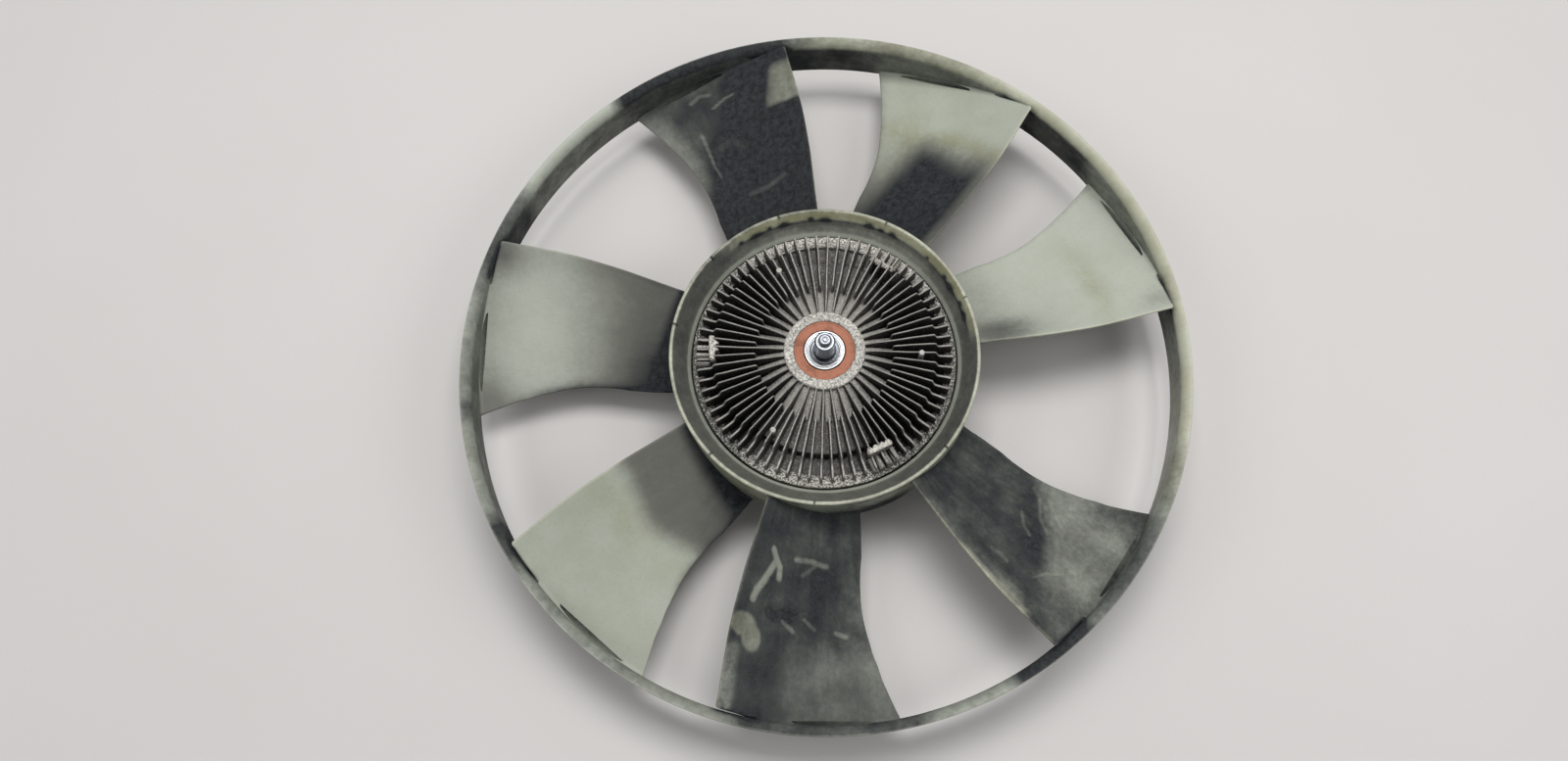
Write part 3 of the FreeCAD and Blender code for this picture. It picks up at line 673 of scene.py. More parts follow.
        soot = 0.26 * (1 - ramp(edge, 0.30, 0.44)) + 0.6 * (1 - ramp(rho, 0.0, 0.07 + 0.08 * s)) + spot(rho, s, 0.0, 1.0, 0.14, 0.25, 0.6)
        soot = soot + 0.55 * low_edge_shade * (1 - ramp(rho, 0.5, 0.75))
        pale = z0 + 0.15
        olive = 0.10 + spot(rho, s, 0.5, 0.25, 0.05, 0.3, 0.2)
        rag = rag + 0.12
    return np.clip(soot, 0, 1), np.clip(film, 0, 1), pale, cream, olive, rag


# =====================================================================
# blades
# =====================================================================
HIGH_EDGE = np.array([(96, -4.6), (112, -3.9), (126, -3.5), (140, -3.2), (150, -3.0), (168, -2.5), (182, -2.1),
                      (196, -1.6), (208, -1.1), (220, -0.6), (236, 0.0), (246, 0.3)])
LOW_EDGE = np.array([(96, 3.6), (104, 2.4), (112, 1.5), (120, 0.8), (128, 0.0), (136, -0.7), (144, -1.6),
                     (152, -2.2), (160, -2.6), (168, -2.8), (176, -2.8), (184, -2.6), (192, -2.3), (200, -2.0),
                     (208, -1.5), (216, -1.2), (224, -0.7), (232, -0.2), (240, 0.3), (246, 0.7)])
HIGH_Z = np.array([(96, 70.2), (112, 69.8), (150, 68.6), (200, 66.4), (236, 64.4), (246, 63.8)])
LOW_Z = np.array([(96, 31.6), (112, 31.2), (150, 30.2), (200, 29.0), (236, 27.8), (246, 27.5)])
HALF = 14.0


def tab(t, r):
    return pchip(t[:, 0], t[:, 1], r)


def ring_inner(z):
    """Inner radius of the outer ring at height z."""
    z = np.asarray(z, float)
    wall = 243.0 + (55.0 - z) * 1.2 / 30.0
    c = np.clip(z - 55.0, 0, 6.999)
    bell = 250.0 - np.sqrt(49.0 - c * c)
    return np.where(z <= 55.0, wall, bell)


def blade_surface(r, s, side, grow):
    """Points on one face of a blade. r, s arrays. grow adds thickness near the root and tip."""
    ah = np.radians(-HALF + tab(HIGH_EDGE, r))
    al = np.radians(HALF + tab(LOW_EDGE, r))
    zh, zl = tab(HIGH_Z, r), tab(LOW_Z, r)
    du, dz = (al - ah) * r, zl - zh
    chord = np.hypot(du, dz)
    nu, nz = -dz / chord, du / chord
    bow = -0.05 * chord * 4 * s * (1 - s)
    x = np.clip(s, 0, 1)
    d = np.minimum(x, 1 - x) * chord                      # distance to the nearer edge, mm
    t = 2.0 + 1.2 * np.sqrt(np.clip(4 * x * (1 - x), 0, 1))
    edge = np.clip(d / 1.0, 0, 1)
    t = t * np.sqrt(1 - (1 - edge) ** 2)                  # half-round edges
    off = bow + side * (t / 2 + grow)
    u = du * s + nu * off
    z = zh + dz * s + nz * off
    a = ah + u / r
    return np.stack([r * np.cos(a), r * np.sin(a), z], -1)


NS = 80
s_base = np.linspace(0, 1, NS)
chord_mid = 90.0
near = np.array([0.0, 0.0015, 0.004, 0.0075, 0.0115])
s_list = np.r_[near, np.linspace(0.02, 0.98, NS), 1 - near[::-1]]
free_s = CORNER = 6.5 / 28.0
s_list = np.sort(np.unique(np.r_[s_list, free_s - 0.012, free_s - 0.006, free_s, free_s + 0.006]))
NR = 124
u_list = np.r_[0, 0.006, 0.012, 0.018, 0.026, 0.036, np.linspace(0.05, 0.955, NR), 0.968, 0.978, 0.986, 0.992, 0.996, 1.0]
R0 = 104.2


def tip_radius(s):
    """Where the tip ends: inside the ring wall, or free of it where the bell mouth flares away."""
    r_guess = 243.0
    z = tab(HIGH_Z, np.full_like(s, r_guess)) * (1 - s) + tab(LOW_Z, np.full_like(s, r_guess)) * s
    attached = np.minimum(ring_inner(z), 243.9) + 0.9
    x = s * 28.0 * math.pi / 180 * 242.5                  # mm from the high edge
    rho = 1.6
    corner = 242.5 - rho * (1 - np.sqrt(np.clip(1 - (1 - np.clip(x / rho, 0, 1)) ** 2, 0, 1)))
    k = smooth01((s - (free_s - 0.012)) / 0.018)
    return corner * (1 - k) + attached * k


def make_blade(bag, i, mid):
    S, U = np.meshgrid(s_list, u_list)
    tip = tip_radius(s_list)
    R = R0 + U * (tip[None, :] - R0)
    # fillets: at the root against the hub, at the tip against the ring wall
    droot = np.clip(R - 105.2, 0, None)
    fr = 4.5
    g_root = np.where(droot < fr, fr - np.sqrt(np.clip(fr * fr - (fr - droot) ** 2, 0, None)), 0.0) * 0.75
    dt = np.clip(tip[None, :] - 0.9 - R, 0, None)
    ft = 2.2
    g_tip = np.where(dt < ft, ft - np.sqrt(np.clip(ft * ft - (ft - dt) ** 2, 0, None)), 0.0) * 0.7
    att = smooth01((S - free_s - 0.004) / 0.02)
    g_free = -0.55 * smooth01((0.9 - (tip[None, :] - R)) / 0.9) * (1 - att)
    ends = smooth01(np.minimum(S, 1 - S) / 0.02)
    grow = g_root * ends + g_tip * att * ends + g_free
    top = blade_surface(R, S, 1, grow)
    bot = blade_surface(R, S, -1, grow)
    nu_, ns_ = U.shape
    # closed section loop: top from high to low edge, bottom back; the edges share points
    loop = np.concatenate([top, bot[:, -2:0:-1]], 1)
    sl = np.concatenate([S, S[:, -2:0:-1]], 1)
    rl = np.concatenate([R, R[:, -2:0:-1]], 1)
    sd = np.concatenate([np.ones_like(S), -np.ones_like(S[:, 1:-1])], 1)
    loop = spin(loop, mid)
    rho = np.clip((rl - 105) / (243 - 105), 0, 1)
    tt, bb = blade_dirt_shade_and_highlight(i, rho, sl, 1), blade_dirt_shade_and_highlight(i, rho, sl, -1)
    w = (sd > 0).astype(float)
    soot, film, pale, cream, olive, rag = (a_ * w + b_ * (1 - w) for a_, b_ in zip(tt, bb))
    # painted highlight: both edges a little lighter, the high edge with a cream line
    edge = np.exp(-np.minimum(sl, 1 - sl) / 0.006)
    soot = soot * (1 - 0.35 * edge)
    cream = cream + 0.5 * edge * (sl < 0.5)
    # the wedge by the bell mouth is painted dark: painted shade in the slot
    soot = np.clip(soot + 0.9 * np.exp(-(242.6 - np.minimum(rl, 242.6)) / 0.8) * (sl < free_s + 0.02) * (sl > 0.03), 0, 1)
    loft(bag, loop, caps=True, flip=False, soot=soot.ravel(), film=film.ravel(), pale=pale.ravel(),
         cream=cream.ravel(), olive=olive.ravel(), rag=rag.ravel())


blades = Bag()
for i, mid in enumerate(BLADE_MIDS):
    make_blade(blades, i, mid)
ob_blades = build("blades", blades, MAT_NYLON, "fan", ["fan_blades"], sharp=50)


# =====================================================================
# outer ring
# =====================================================================
def band(th, a0, a1, soft=6.0):
    """1 between two angles in degrees, falling off over soft degrees."""
    d = (np.degrees(th) - (a0 + a1) / 2 + 180) % 360 - 180
    h = (a1 - a0) / 2
    return smooth01((h - np.abs(d)) / soft + 0.5)


BELL_SOOT = [(0, .12), (12, .15), (20, .1), (48, .12), (58, .18), (66, .30), (90, .30), (97, .75), (126, .78), (129, .12), (147, .12), (151, .62),
             (164, .66), (170, .4), (186, .35), (188, .6), (191, .28), (205, .28), (208, .7), (213, .7), (217, .35), (238, .38), (243, .2),
             (253, .26), (258, .68), (283, .70), (286, .34), (297, .34), (300, .78), (311, .8), (314, .6), (330, .64), (335, .4), (343, .34), (348, .14), (360, .12)]
# inner wall soot by angle, partly painted shade: the wall is darkest on the far side, near 80–100°
WALL_SOOT_AND_SHADE = [(0, .34), (9, .66), (14, .35), (36, .4), (39, .78), (54, .82), (58, .4), (78, .42), (83, .80), (96, .88), (100, .7), (124, .72),
             (128, .5), (149, .5), (152, .85), (158, .85), (164, .4), (186, .42), (189, .55), (206, .5), (208, .88), (214, .88), (218, .45),
             (246, .52), (262, .72), (284, .72), (288, .5), (299, .5), (302, .9), (311, .9), (315, .6), (330, .6), (336, .20), (347, .14), (360, .34)]


def ring_dirt_shade_and_highlight(V):
    th = np.arctan2(V[:, 1], V[:, 0])
    deg = np.degrees(th) % 360
    r = np.hypot(V[:, 0], V[:, 1])
    z = V[:, 2]
    inside = smooth01((246.6 - r) / 1.5)
    wall = inside * (1 - smooth01((z - 54.0) / 4.0))
    bell = np.clip(1.35 * np.interp(deg, *zip(*BELL_SOOT)) - 0.10, 0.0, 1.0)
    inn = np.interp(deg, *zip(*WALL_SOOT_AND_SHADE))
    soot = bell * (1 - wall) + inn * wall
    for mdeg in BLADE_MIDS:                                # painted shade in the wedge by the free corner
        near_edge = band(th, mdeg - 14.5, mdeg - 7.5, 2.0)
        soot = soot + 0.55 * near_edge * inside * np.exp(-((z - 56.5) / 2.6) ** 2)
    film = 0.16 + 0.25 * wall + 0.25 * band(th, 205, 262, 10) + 0.2 * band(th, 178, 206, 8)
    # painted highlight: a thin cream line along the lip's outer edge, with less soot
    rim = np.exp(-((z - 62.0) / 0.5) ** 2) * smooth01((r - 249.0) / 0.6)
    cream = 0.35 * band(th, -20, 90, 20) * (1 - wall) + 0.25 * rim
    olive = 0.30 * band(th, 5, 98, 10) * (1 - wall) + 0.25 * band(th, 335, 360, 8)
    soot = soot * (1 - 0.45 * rim)
    return np.clip(soot, 0, 1), film, cream, olive


ring = Bag()
bc = (250.0, 55.0)
prof = [(250.0 - 7.0 * math.cos(a), 55.0 + 7.0 * math.sin(a)) for a in np.radians(np.linspace(90, 0, 15))]
prof = [(249.6, 62.0)] + prof[1:]
prof += [(243.0, 53.5), (244.2, 26.2), (244.6, 25.2), (245.4, 25.0), (246.3, 25.2), (246.8, 26.0), (245.7, 53.5)]
prof += [(250.0 - 4.4 * math.cos(a), 55.0 + 4.4 * math.sin(a)) for a in np.radians(np.linspace(0, 84, 11))]
prof += [(249.9, 59.6), (250.0, 60.4), (250.0, 61.5)]
prof = refine(prof, 1.6)
R_WOB = RNG.normal(0, 1, 6)


def ring_wobble(r, z, th):
    # a moulding this size is never quite round
    dr = 0.10 * np.sin(2 * th + 0.4) + 0.08 * np.sin(3 * th + 1.7)
    dr = np.minimum(dr, 250.0 - r) if r > 249.0 else dr
    return dr, 0.10 * np.sin(2 * th + 1.0) - 0.1


lathe(ring, prof, 720, wobble=ring_wobble)
V = np.concatenate(ring.v)
so, fi, cr, ol_ = ring_dirt_shade_and_highlight(V)
ring.a[0] = {"soot": so, "film": fi, "cream": cr, "pale": np.full(len(V), 0.10), "olive": ol_, "rag": np.full(len(V), 0.32)}
ring.names |= {"soot", "film", "cream", "pale", "olive", "rag"}
build("outer_ring", ring, MAT_NYLON, "fan", ["fan_outer_ring"], sharp=40)

# =====================================================================
# hub
# =====================================================================
hub = Bag()
hp = [(105.4, 30.0), (105.2, 72.6), (104.6, 73.2), (103.2, 73.2), (102.5, 72.4), (95.0, 59.0), (91.7, 55.4), (91.6, 44.0),
      (78.2, 44.0), (78.2, 38.0), (97.6, 38.0), (98.3, 57.5), (102.2, 66.2), (102.4, 30.0)]
hr = [0.8, 0.3, 0.5, 0.5, 0.5, 2.0, 1.0, 1.0, 0.4, 0.4, 1.2, 1.5, 0.6, 0.8]
hp = refine(fillet(hp, hr, 4), 1.0)
PIPS = [21.8, 65.0, 107.5, 168.8, 223.0, 265.8, 320.0]


def hub_wobble(r, z, th):
    """A moulded rim with one chip out of it."""
    dz = 0.05 * np.sin(2 * th + 0.5) + 0.04 * np.sin(5 * th)
    dz = dz * float(smooth01((z - 60.0) / 10.0))
    if z > 71.5:
        d = (np.degrees(th) - 139.0 + 180) % 360 - 180
        dz = dz - 1.3 * np.exp(-(d / 0.55) ** 2) - 0.4 * np.exp(-((d - 1.3) / 0.5) ** 2)
    return 0 * th, dz - 0.05


lathe(hub, hp, 900, wobble=hub_wobble)
V = hub.v[0]
th = np.arctan2(V[:, 1], V[:, 0])
r = np.hypot(V[:, 0], V[:, 1])
z = V[:, 2]
cone = ((r < 103.4) & (r > 94.0) & (z > 44.5)).astype(float) * smooth01((103.3 - r) / 0.5)
far_sheen = band(th, 25, 125, 50)
# painted grey-green sheen on the far side, plain dark grey on the near side: less soot and film on the far side, less
# soot over 200–300°, and the cone painted lighter toward its foot as if lit
soot = cone * (0.46 - 0.18 * far_sheen - 0.16 * band(th, 200, 300, 30)) * (1 - 0.45 * smooth01((64 - z) / 8))
film = 0.28 + cone * (0.72 - 0.30 * far_sheen)
ol = cone * smooth01((z - 66.6) / 1.2) * (0.60 * band(th, 8, 128, 14) + 0.08)
cream = 0.50 * cone * smooth01((z - 67.0) / 1.4) * band(th, 8, 128, 14)
soot = soot * (1 - 0.8 * cone * smooth01((z - 66.8) / 1.2) * band(th, 8, 128, 14))
film = film * (1 - 0.7 * cone * smooth01((z - 66.8) / 1.2) * band(th, 8, 128, 14))
# painted sheen: a pale band on the far side of the cone at mid-height
pale = 0.5 * cone * far_sheen * np.exp(-((z - 60.5) / 2.5) ** 2)
g = np.random.default_rng(77)
for c0, w0, h0, up in ((16, 2.6, 1.5, 0.2), (21, 1.5, 1.1, 0.5), (29, 2.6, 1.6, -0.2), (33.5, 1.2, 1.0, 0.6), (44, 0.9, 0.8, 0.8), (61, 2.0, 1.3, 0.4), (66, 1.5, 1.0, 0.0),
                       (71, 2.4, 1.6, 0.3), (89, 2.2, 1.5, -0.3), (95, 1.2, 1.0, 0.5), (106, 2.6, 1.6, 0.1), (112, 1.0, 0.9, 0.6), (118, 2.4, 1.3, -0.2), (125, 1.2, 0.9, 0.4)):
    d = (np.degrees(th) - c0 + 180) % 360 - 180
    soot = soot + cone * np.exp(-(d / w0) ** 2) * np.exp(-((z - 67.3 - 1.3 * up) / (1.45 * h0)) ** 2)
soot = soot + 0.35 * cone * band(th, 12, 126, 6) * np.exp(-((z - 66.3) / 0.8) ** 2)
rim = np.exp(-((z - 73.2) / 0.8) ** 2) * (r > 102.0)
cream = cream + 0.45 * rim + 0.12 * (r > 104.5) * smooth01((z - 60) / 12)
soot = soot + rim * (0.26 + 0.25 * band(th, 85, 150, 12))
film = film * (1 - 0.6 * rim)
outer = (r > 104.5) * (1 - rim)
soot = soot + outer * (0.12 + 0.45 * smooth01((60 - z) / 20) + 0.35 * band(th, 250, 262, 5) + 0.3 * band(th, 272, 300, 8))
ol = ol + outer * 0.45 * (band(th, 205, 262, 10) + 0.5 * band(th, 262, 330, 10))
front = (z < 44.5) | ((r < 103) & (z < 66) & (r > 97))
film = film + 0.25 * front
for c0 in PIPS + [138.4]:
    d = ((np.degrees(th) - c0 + 180) % 360 - 180) * math.pi / 180 * 104
    soot = soot + 0.6 * np.exp(-(d / 0.7) ** 2) * (z > 71.0)
hub.a[0] = {"soot": np.clip(soot, 0, 1), "film": np.clip(film, 0, 1), "olive": ol, "cream": cream, "pale": pale, "rag": np.full(len(V), 0.5)}
hub.names |= {"soot", "film", "olive", "cream", "pale", "rag"}
for c0 in PIPS:
    b = Bag()
    lathe(b, [(0, 73.30), (0.35, 73.28), (0.62, 73.12), (0.75, 72.7), (0, 72.7)][::-1], 20, closed=False)
    v = b.v[0]
    v[:, 0] += 103.95
    hub.add(spin(v, c0), b.f, soot=0.85, film=0.5, rag=0.5)
for i in range(21):
    a = 360.0 / 21 * i + 4
    st = []
    for (r0, r1, z0, half) in ((97.0, 103.0, 32.2, 0.75), (97.0, 103.0, 33.0, 1.0), (97.4, 103.0, 45.0, 1.05), (97.9, 103.0, 57.5, 1.1), (101.6, 103.0, 66.0, 1.15)):
        st.append([(r0, -half, z0), (r1, -half, z0), (r1, half, z0), (r0, half, z0)])
    loft(hub, spin(np.array(st), a), film=0.5, soot=0.35)
build("hub", hub, MAT_NYLON, "fan", ["fan_hub"], sharp=35)

# =====================================================================
# rear clutch housing
# =====================================================================
hs = Bag()
core = [(20.7, 75.6), (21.1, 76.2), (26.9, 76.2), (27.5, 75.6), (27.9, 62.0), (68.6, 62.0), (69.7, 55.5), (81.4, 55.5),
        (82.3, 57.5), (89.9, 57.5), (90.5, 56.9), (90.5, 44.0), (66.6, 44.0), (66.6, 50.5), (65.0, 50.5), (65.0, 53.0),
        (38.0, 53.0), (36.0, 57.0), (17.2, 57.0), (17.2, 62.2), (21.0, 62.2), (21.0, 75.4), (20.7, 75.4)]
cr_ = [0.15, 0.3, 0.3, 0.5, 1.2, 0.6, 0.8, 0.8, 0.6, 0.5, 0.5, 0.5, 0.3, 0.3, 0.2, 0.3, 0.5, 0.5, 0.3, 0.3, 0.1, 0.05, 0.05]
core = refine(fillet(core, cr_, 3), 1.8)


def cast_noise(th, k, amp, seed):
    g = np.random.default_rng(seed)
    out = np.zeros_like(th)
    for j in range(1, k):
        out = out + g.normal() * np.sin(j * 7 * th + g.uniform(0, 6.28)) / math.sqrt(k)
    return amp * out


lathe(hs, core, 480, wobble=lambda r, z, th: ((cast_noise(th, 9, 0.10, int(r * 7)) if z > 50 and r > 28 else 0 * th),
                                              (cast_noise(th, 12, 0.12, int(r * 13)) if 54 < z < 63 and 29 < r < 89 else 0 * th)))
V = hs.v[0]
r = np.hypot(V[:, 0], V[:, 1])
th = np.arctan2(V[:, 1], V[:, 0])
z = V[:, 2]
boss = smooth01((28.2 - r) / 0.5) * (z > 70)


def darkness(th):
    """Painted shade with grime: black at the sides of the ring of fins, where the gaps lie in shade, much lighter at
    its top and bottom.
    """
    return 1.0 - 0.90 * band(th, 46, 123, 36) - 0.95 * band(th, 234, 294, 26)


gr = darkness(th)
# painted shade with grime between the fins, heaviest at the sides
deep = np.where(boss > 0.1, 0.0, 0.20 + 0.80 * gr)
# painted shade: a dark line at the foot of the step down to the rim, all the way round
deep = deep + 0.8 * np.exp(-((r - 70.2) / 1.3) ** 2) * (z < 62.5)
# painted light: the rim beyond the fins gets less shade and grime and lighter tops on the far side, 36–132°
rimz = smooth01((r - 82.0) / 1.0) * (z > 55.6)
deep = deep * (1 - rimz * (0.35 + 0.60 * band(th, 36, 132, 20)))
# dark pockets beside the first boss
deep = deep + 1.0 * band(th, 45, 61, 2.0) * np.exp(-((r - 68.0) / 5.0) ** 2)
hs.a[0] = {"top": 0.55 * boss + 0.32 * rimz * band(th, 36, 132, 20), "deep": np.clip(deep, 0, 1) * (r > 21.5),
           "speck": boss * 1.0 + rimz * 0.8 + 0.5 * (1 - gr) * (1 - boss)}
hs.names |= {"top", "deep", "speck"}
for rr in (42, 46, 50, 54, 58, 62):
    lathe(hs, fillet([(rr - 0.75, 48.4), (rr + 0.75, 48.4), (rr + 0.75, 54), (rr - 0.75, 54)], [0.2, 0.2, 0, 0], 2), 240)


def floor_z(r):
    return np.interp(r, [0, 68.6, 69.7, 81.4, 82.3, 95], [62, 62, 55.5, 55.5, 57.5, 57.5])


def fin_solid(bag, deg, rs, zt, half_top, half_bot, rho, jitter=0.0, seed=0, dirt=1.0):
    """One radial fin: tapered sides, rounded top edges, rounded outer and inner ends."""
    g = np.random.default_rng(seed)
    arc = [math.radians(x) for x in (0, 30, 60, 90)]
    secs, tops, deeps = [], [], []
    n = len(rs)
    ph = g.uniform(0, 6.28, 3)
    for k, (r, t) in enumerate(zip(rs, zt)):
        zb = float(floor_z(r)) - 0.6
        hgt = max(t - zb, 0.4)
        full = 15.4
        ht = half_top + (half_bot - half_top) * max(0.0, (76.8 - t)) / full
        shrink = 0.55 if k in (0, n - 1) else 1.0
        hb = ht + (half_bot - half_top) * hgt / full
        ht *= shrink
        hb *= shrink
        rh = min(rho, ht * 0.95)
        wob = jitter * (math.sin(r * 0.21 + ph[0]) + 0.6 * math.sin(r * 0.53 + ph[1]))
        t = t + 0.5 * jitter * math.sin(r * 0.8 + ph[2]) * (t > 76)
        lv = [0.10, 0.45]                                   # extra rings down each flank, for the line of painted shade and grime
        left = [(-hb, zb)] + [(-(ht + (hb - ht) * f), t - rh - (hgt - rh) * f) for f in lv[::-1]]
        pts = left
        pts = pts + [(-ht + rh - rh * math.cos(a), t - rh + rh * math.sin(a)) for a in arc]
        pts = pts + [(ht - rh + rh * math.sin(a), t - rh + rh * math.cos(a)) for a in arc]
        pts = pts + [(-x, y) for x, y in left[::-1]]
        secs.append([(r, x + wob, y) for x, y in pts])
        wear = 0.75 + 0.25 * math.sin(r * 0.37 + ph[1])
        for x, y in pts:
            e = (t - y)
            tops.append(math.exp(-(e / 0.45) ** 2) * wear * (0.55 if r < 44 else 1.0))
            pocket = 1.0 if 45.5 < deg < 61.0 and 62.5 < r < 72.5 else 0.0
            # painted shade with grime: darker down each flank, more so at the sides of the ring
            deeps.append(max(min(1.0, max(0.0, (e - 0.25) / 1.3)) * (0.25 + 0.75 * dirt) + 0.12 * dirt, pocket * min(1.0, e / 1.0)))
    P = np.array(secs)
    P = spin(P, deg)
    loft(bag, P, caps=True, flip=True, top=np.array(tops) * (0.62 + 0.08 * (1 - dirt)), deep=np.clip(np.array(deeps), 0, 1), speck=0.15 + 0.45 * (1 - dirt))


outer_r = [73.6, 74.6, 75.4, 76.2, 77.0, 77.8, 79.5, 83.0, 85.6, 86.5, 87.0, 87.2]
outer_z = [76.8, 76.6, 75.6, 72.8, 70.9, 70.15, 70.0, 70.0, 70.0, 69.7, 69.0, 67.5]
long_r = [26.9, 27.8, 29.2, 33, 38, 44, 50, 56, 62, 68] + outer_r
long_z = [75.2, 75.7, 76.4, 76.8, 76.8, 76.8, 76.8, 76.8, 76.8, 76.8] + outer_z
short_r = [46.3, 46.6, 47.1, 48.0, 52, 58, 64, 69] + outer_r
short_z = [70.0, 75.6, 76.4, 76.8, 76.8, 76.8, 76.8, 76.8] + outer_z
for i in range(36):
    for base, rs, zt in ((8.0, long_r, long_z), (3.0, short_r, short_z)):
        a = base + 10.0 * i
        dirt = float(darkness(np.array([math.radians(a)]))[0])
        zj = np.array(zt, float) + 0.12 * RNG.normal() * (np.array(zt) > 76)
        zj = np.minimum(zj, 77.0)
        fin_solid(hs, a + 0.15 * RNG.normal(), rs, zj, 0.46 + 0.03 * RNG.normal(), 0.92, 0.38, 0.09, 1000 + i * 2 + int(base), dirt)
    # sloping pad between the long fins
    a = 3.0 + 10.0 * i
    g = np.random.default_rng(500 + i)
    secs, tops, deeps = [], [], []
    dirt = float(darkness(np.array([math.radians(a)]))[0])
    for r, t, hw in ((26.9, 72.2, 1.6), (28.0, 71.9, 1.75), (30.0, 71.0, 1.9), (33.0, 69.6, 2.05), (37.0, 67.9, 2.15), (41.0, 66.2, 2.2), (44.5, 64.7, 2.2), (46.4, 63.9, 2.15), (47.0, 63.4, 2.0), (47.4, 62.4, 1.8)):
        z0 = 61.4
        t = t + 0.10 * g.normal()
        lo = max(z0 + 0.2, t - 1.6)
        pts = [(-hw - 0.25, z0), (-hw - 0.05, lo), (-hw, t - 0.55), (-hw + 0.16, t - 0.16), (-hw + 0.55, t), (0.0, t + 0.08), (hw - 0.55, t), (hw - 0.16, t - 0.16), (hw, t - 0.55), (hw + 0.05, lo), (hw + 0.25, z0)]
        secs.append([(r, x, y) for x, y in pts])
        for x, y in pts:
            # the pad tops are painted light, partly a painted highlight; their flanks get painted shade with grime
            tops.append(1.0 * math.exp(-((t - y) / 0.4) ** 2))
            deeps.append(min(1.0, max(0.0, (t - y - 0.2) / 1.0)) * (0.3 + 0.7 * dirt))
    loft(hs, spin(np.array(secs), a), caps=True, flip=True, top=np.array(tops), deep=np.array(deeps), speck=0.55)

# cast lugs over the three bolt bosses, scalloped and rough, no two alike
for li, (a, ztop, zout) in enumerate(((58.0, 71.5, 66.2), (178.0, 76.1, 66.5), (298.0, 76.1, 66.5))):
    g = np.random.default_rng(40 + li)
    secs, tp = [], []
    n = 49
    tilt = (0.0, -0.07, 0.03)[li]
    for k in range(n):
        y = -8.9 + 17.8 * k / (n - 1)
        if li == 1:                                        # two round bumps and a slanted bar
            sc = 3.0 * math.exp(-((y + 3.2) / 1.4) ** 2) + 2.6 * math.exp(-((y - 1.4) / 1.2) ** 2) + 0.5 * abs(math.sin(y)) + g.normal() * 0.1
            drop = 0.5 * smooth01((abs(y) - 5) / 4)
        elif li == 2:
            sc = 1.5 * abs(math.sin(math.pi * (y + 8.9) / 4.4)) + g.normal() * 0.14
            drop = 0.2 * abs(math.sin(2.1 * y))
        else:
            sc = 0.8 * abs(math.sin(math.pi * (y + 8.9) / 4.9)) + g.normal() * 0.25
            drop = 0.8 * abs(math.sin(1.3 * y + 1)) + 0.3 * g.normal()
        end = smooth01((8.95 - abs(y)) / 1.2)
        off = tilt * y
        r0, r1, zt = 74.4 - sc + off, 78.0 + 0.15 * g.normal() + off, ztop - float(drop) - 1.6 * float(1 - end)
        cxm, e = (r0 + r1) / 2, 0.72 + 0.28 * float(end)
        pts = [(r0 - 0.3, 54.5), (r0, zt - 2.6), (r0, zt - 1.2), (r0 + 0.3, zt - 0.4), (r0 + 1.0, zt), (r1 - 0.9, zt), (r1 - 0.25, zt - 0.35), (r1, zt - 1.2), (r1, zt - 2.6), (r1 + 0.3, 54.5)]
        secs.append([(cxm + (x - cxm) * e, y, zz) for x, zz in pts])
        tp += [math.exp(-((zt - zz) / 0.9) ** 2) for x, zz in pts]
    tp = np.array(tp)
    # tops painted light, sides painted shade with grime
    loft(hs, spin(np.array(secs), a), caps=True, flip=False, top=1.0 * tp, deep=0.75 * (1 - tp), speck=1.0)
    # notched outer block
    for (y0, y1) in ((-9.8, -6.3), (-5.0, -1.2), (0.3, 4.2), (5.6, 9.8)):
        secs, tp = [], []
        for k in range(13):
            y = y0 + (y1 - y0) * k / 12
            e = math.sin(math.pi * min(1, max(0, (k + 1.2) / 14.4))) ** 0.22
            zt = 55.0 + (zout - 55.0) * e + 0.16 * g.normal()
            r0 = 78.0 + 0.5 * g.normal() * (li == 0)
            pts = [(r0 - 0.6, 54.5), (r0 - 0.6, zt - 1.8), (r0 - 0.5, zt - 0.6), (r0, zt), (86.2, zt), (87.1, zt - 0.5), (87.5, zt - 1.8), (87.9, 54.5)]
            secs.append([(x, y, zz) for x, zz in pts])
            tp += [math.exp(-((zt - zz) / 0.9) ** 2) for x, zz in pts]
        tp = np.array(tp)
        loft(hs, spin(np.array(secs), a), caps=True, flip=False, top=0.8 * tp, deep=0.7 * (1 - tp), speck=1.0)
# ejector-pin lands on three fins
for a in (118.0, 238.0, 358.0):
    b = Bag()
    lathe(b, [(0, 77.0), (1.3, 77.0), (1.75, 76.8), (1.95, 76.3), (2.15, 55.0), (0, 55.0)][::-1], 28, closed=False)
    v = b.v[0]
    v[:, 0] += 65.3
    top = (v[:, 2] > 76.2).astype(float)
    # tops painted light, sides painted shade with grime
    hs.add(spin(v, a), b.f, top=top * 1.0, deep=(1 - top) * 0.9, speck=0.3)
build("clutch_rear_housing", hs, MAT_CAST, "fan", ["rear_housing"], sharp=38)

# =====================================================================
# bearing, seal and shaft
# =====================================================================
seal = Bag()
sp = [(14.3, 74.2), (20.65, 74.2), (20.65, 75.1), (20.2, 75.35), (19.4, 75.3), (19.1, 74.95), (16.4, 74.95), (15.7, 75.25), (14.6, 75.35), (14.3, 75.1)]
lathe(seal, refine(fillet(sp, 0.15, 3), 0.8), 200)
build("bearing_seal", seal, MAT_SEAL, "fan", ["bearing_rear_seal"])

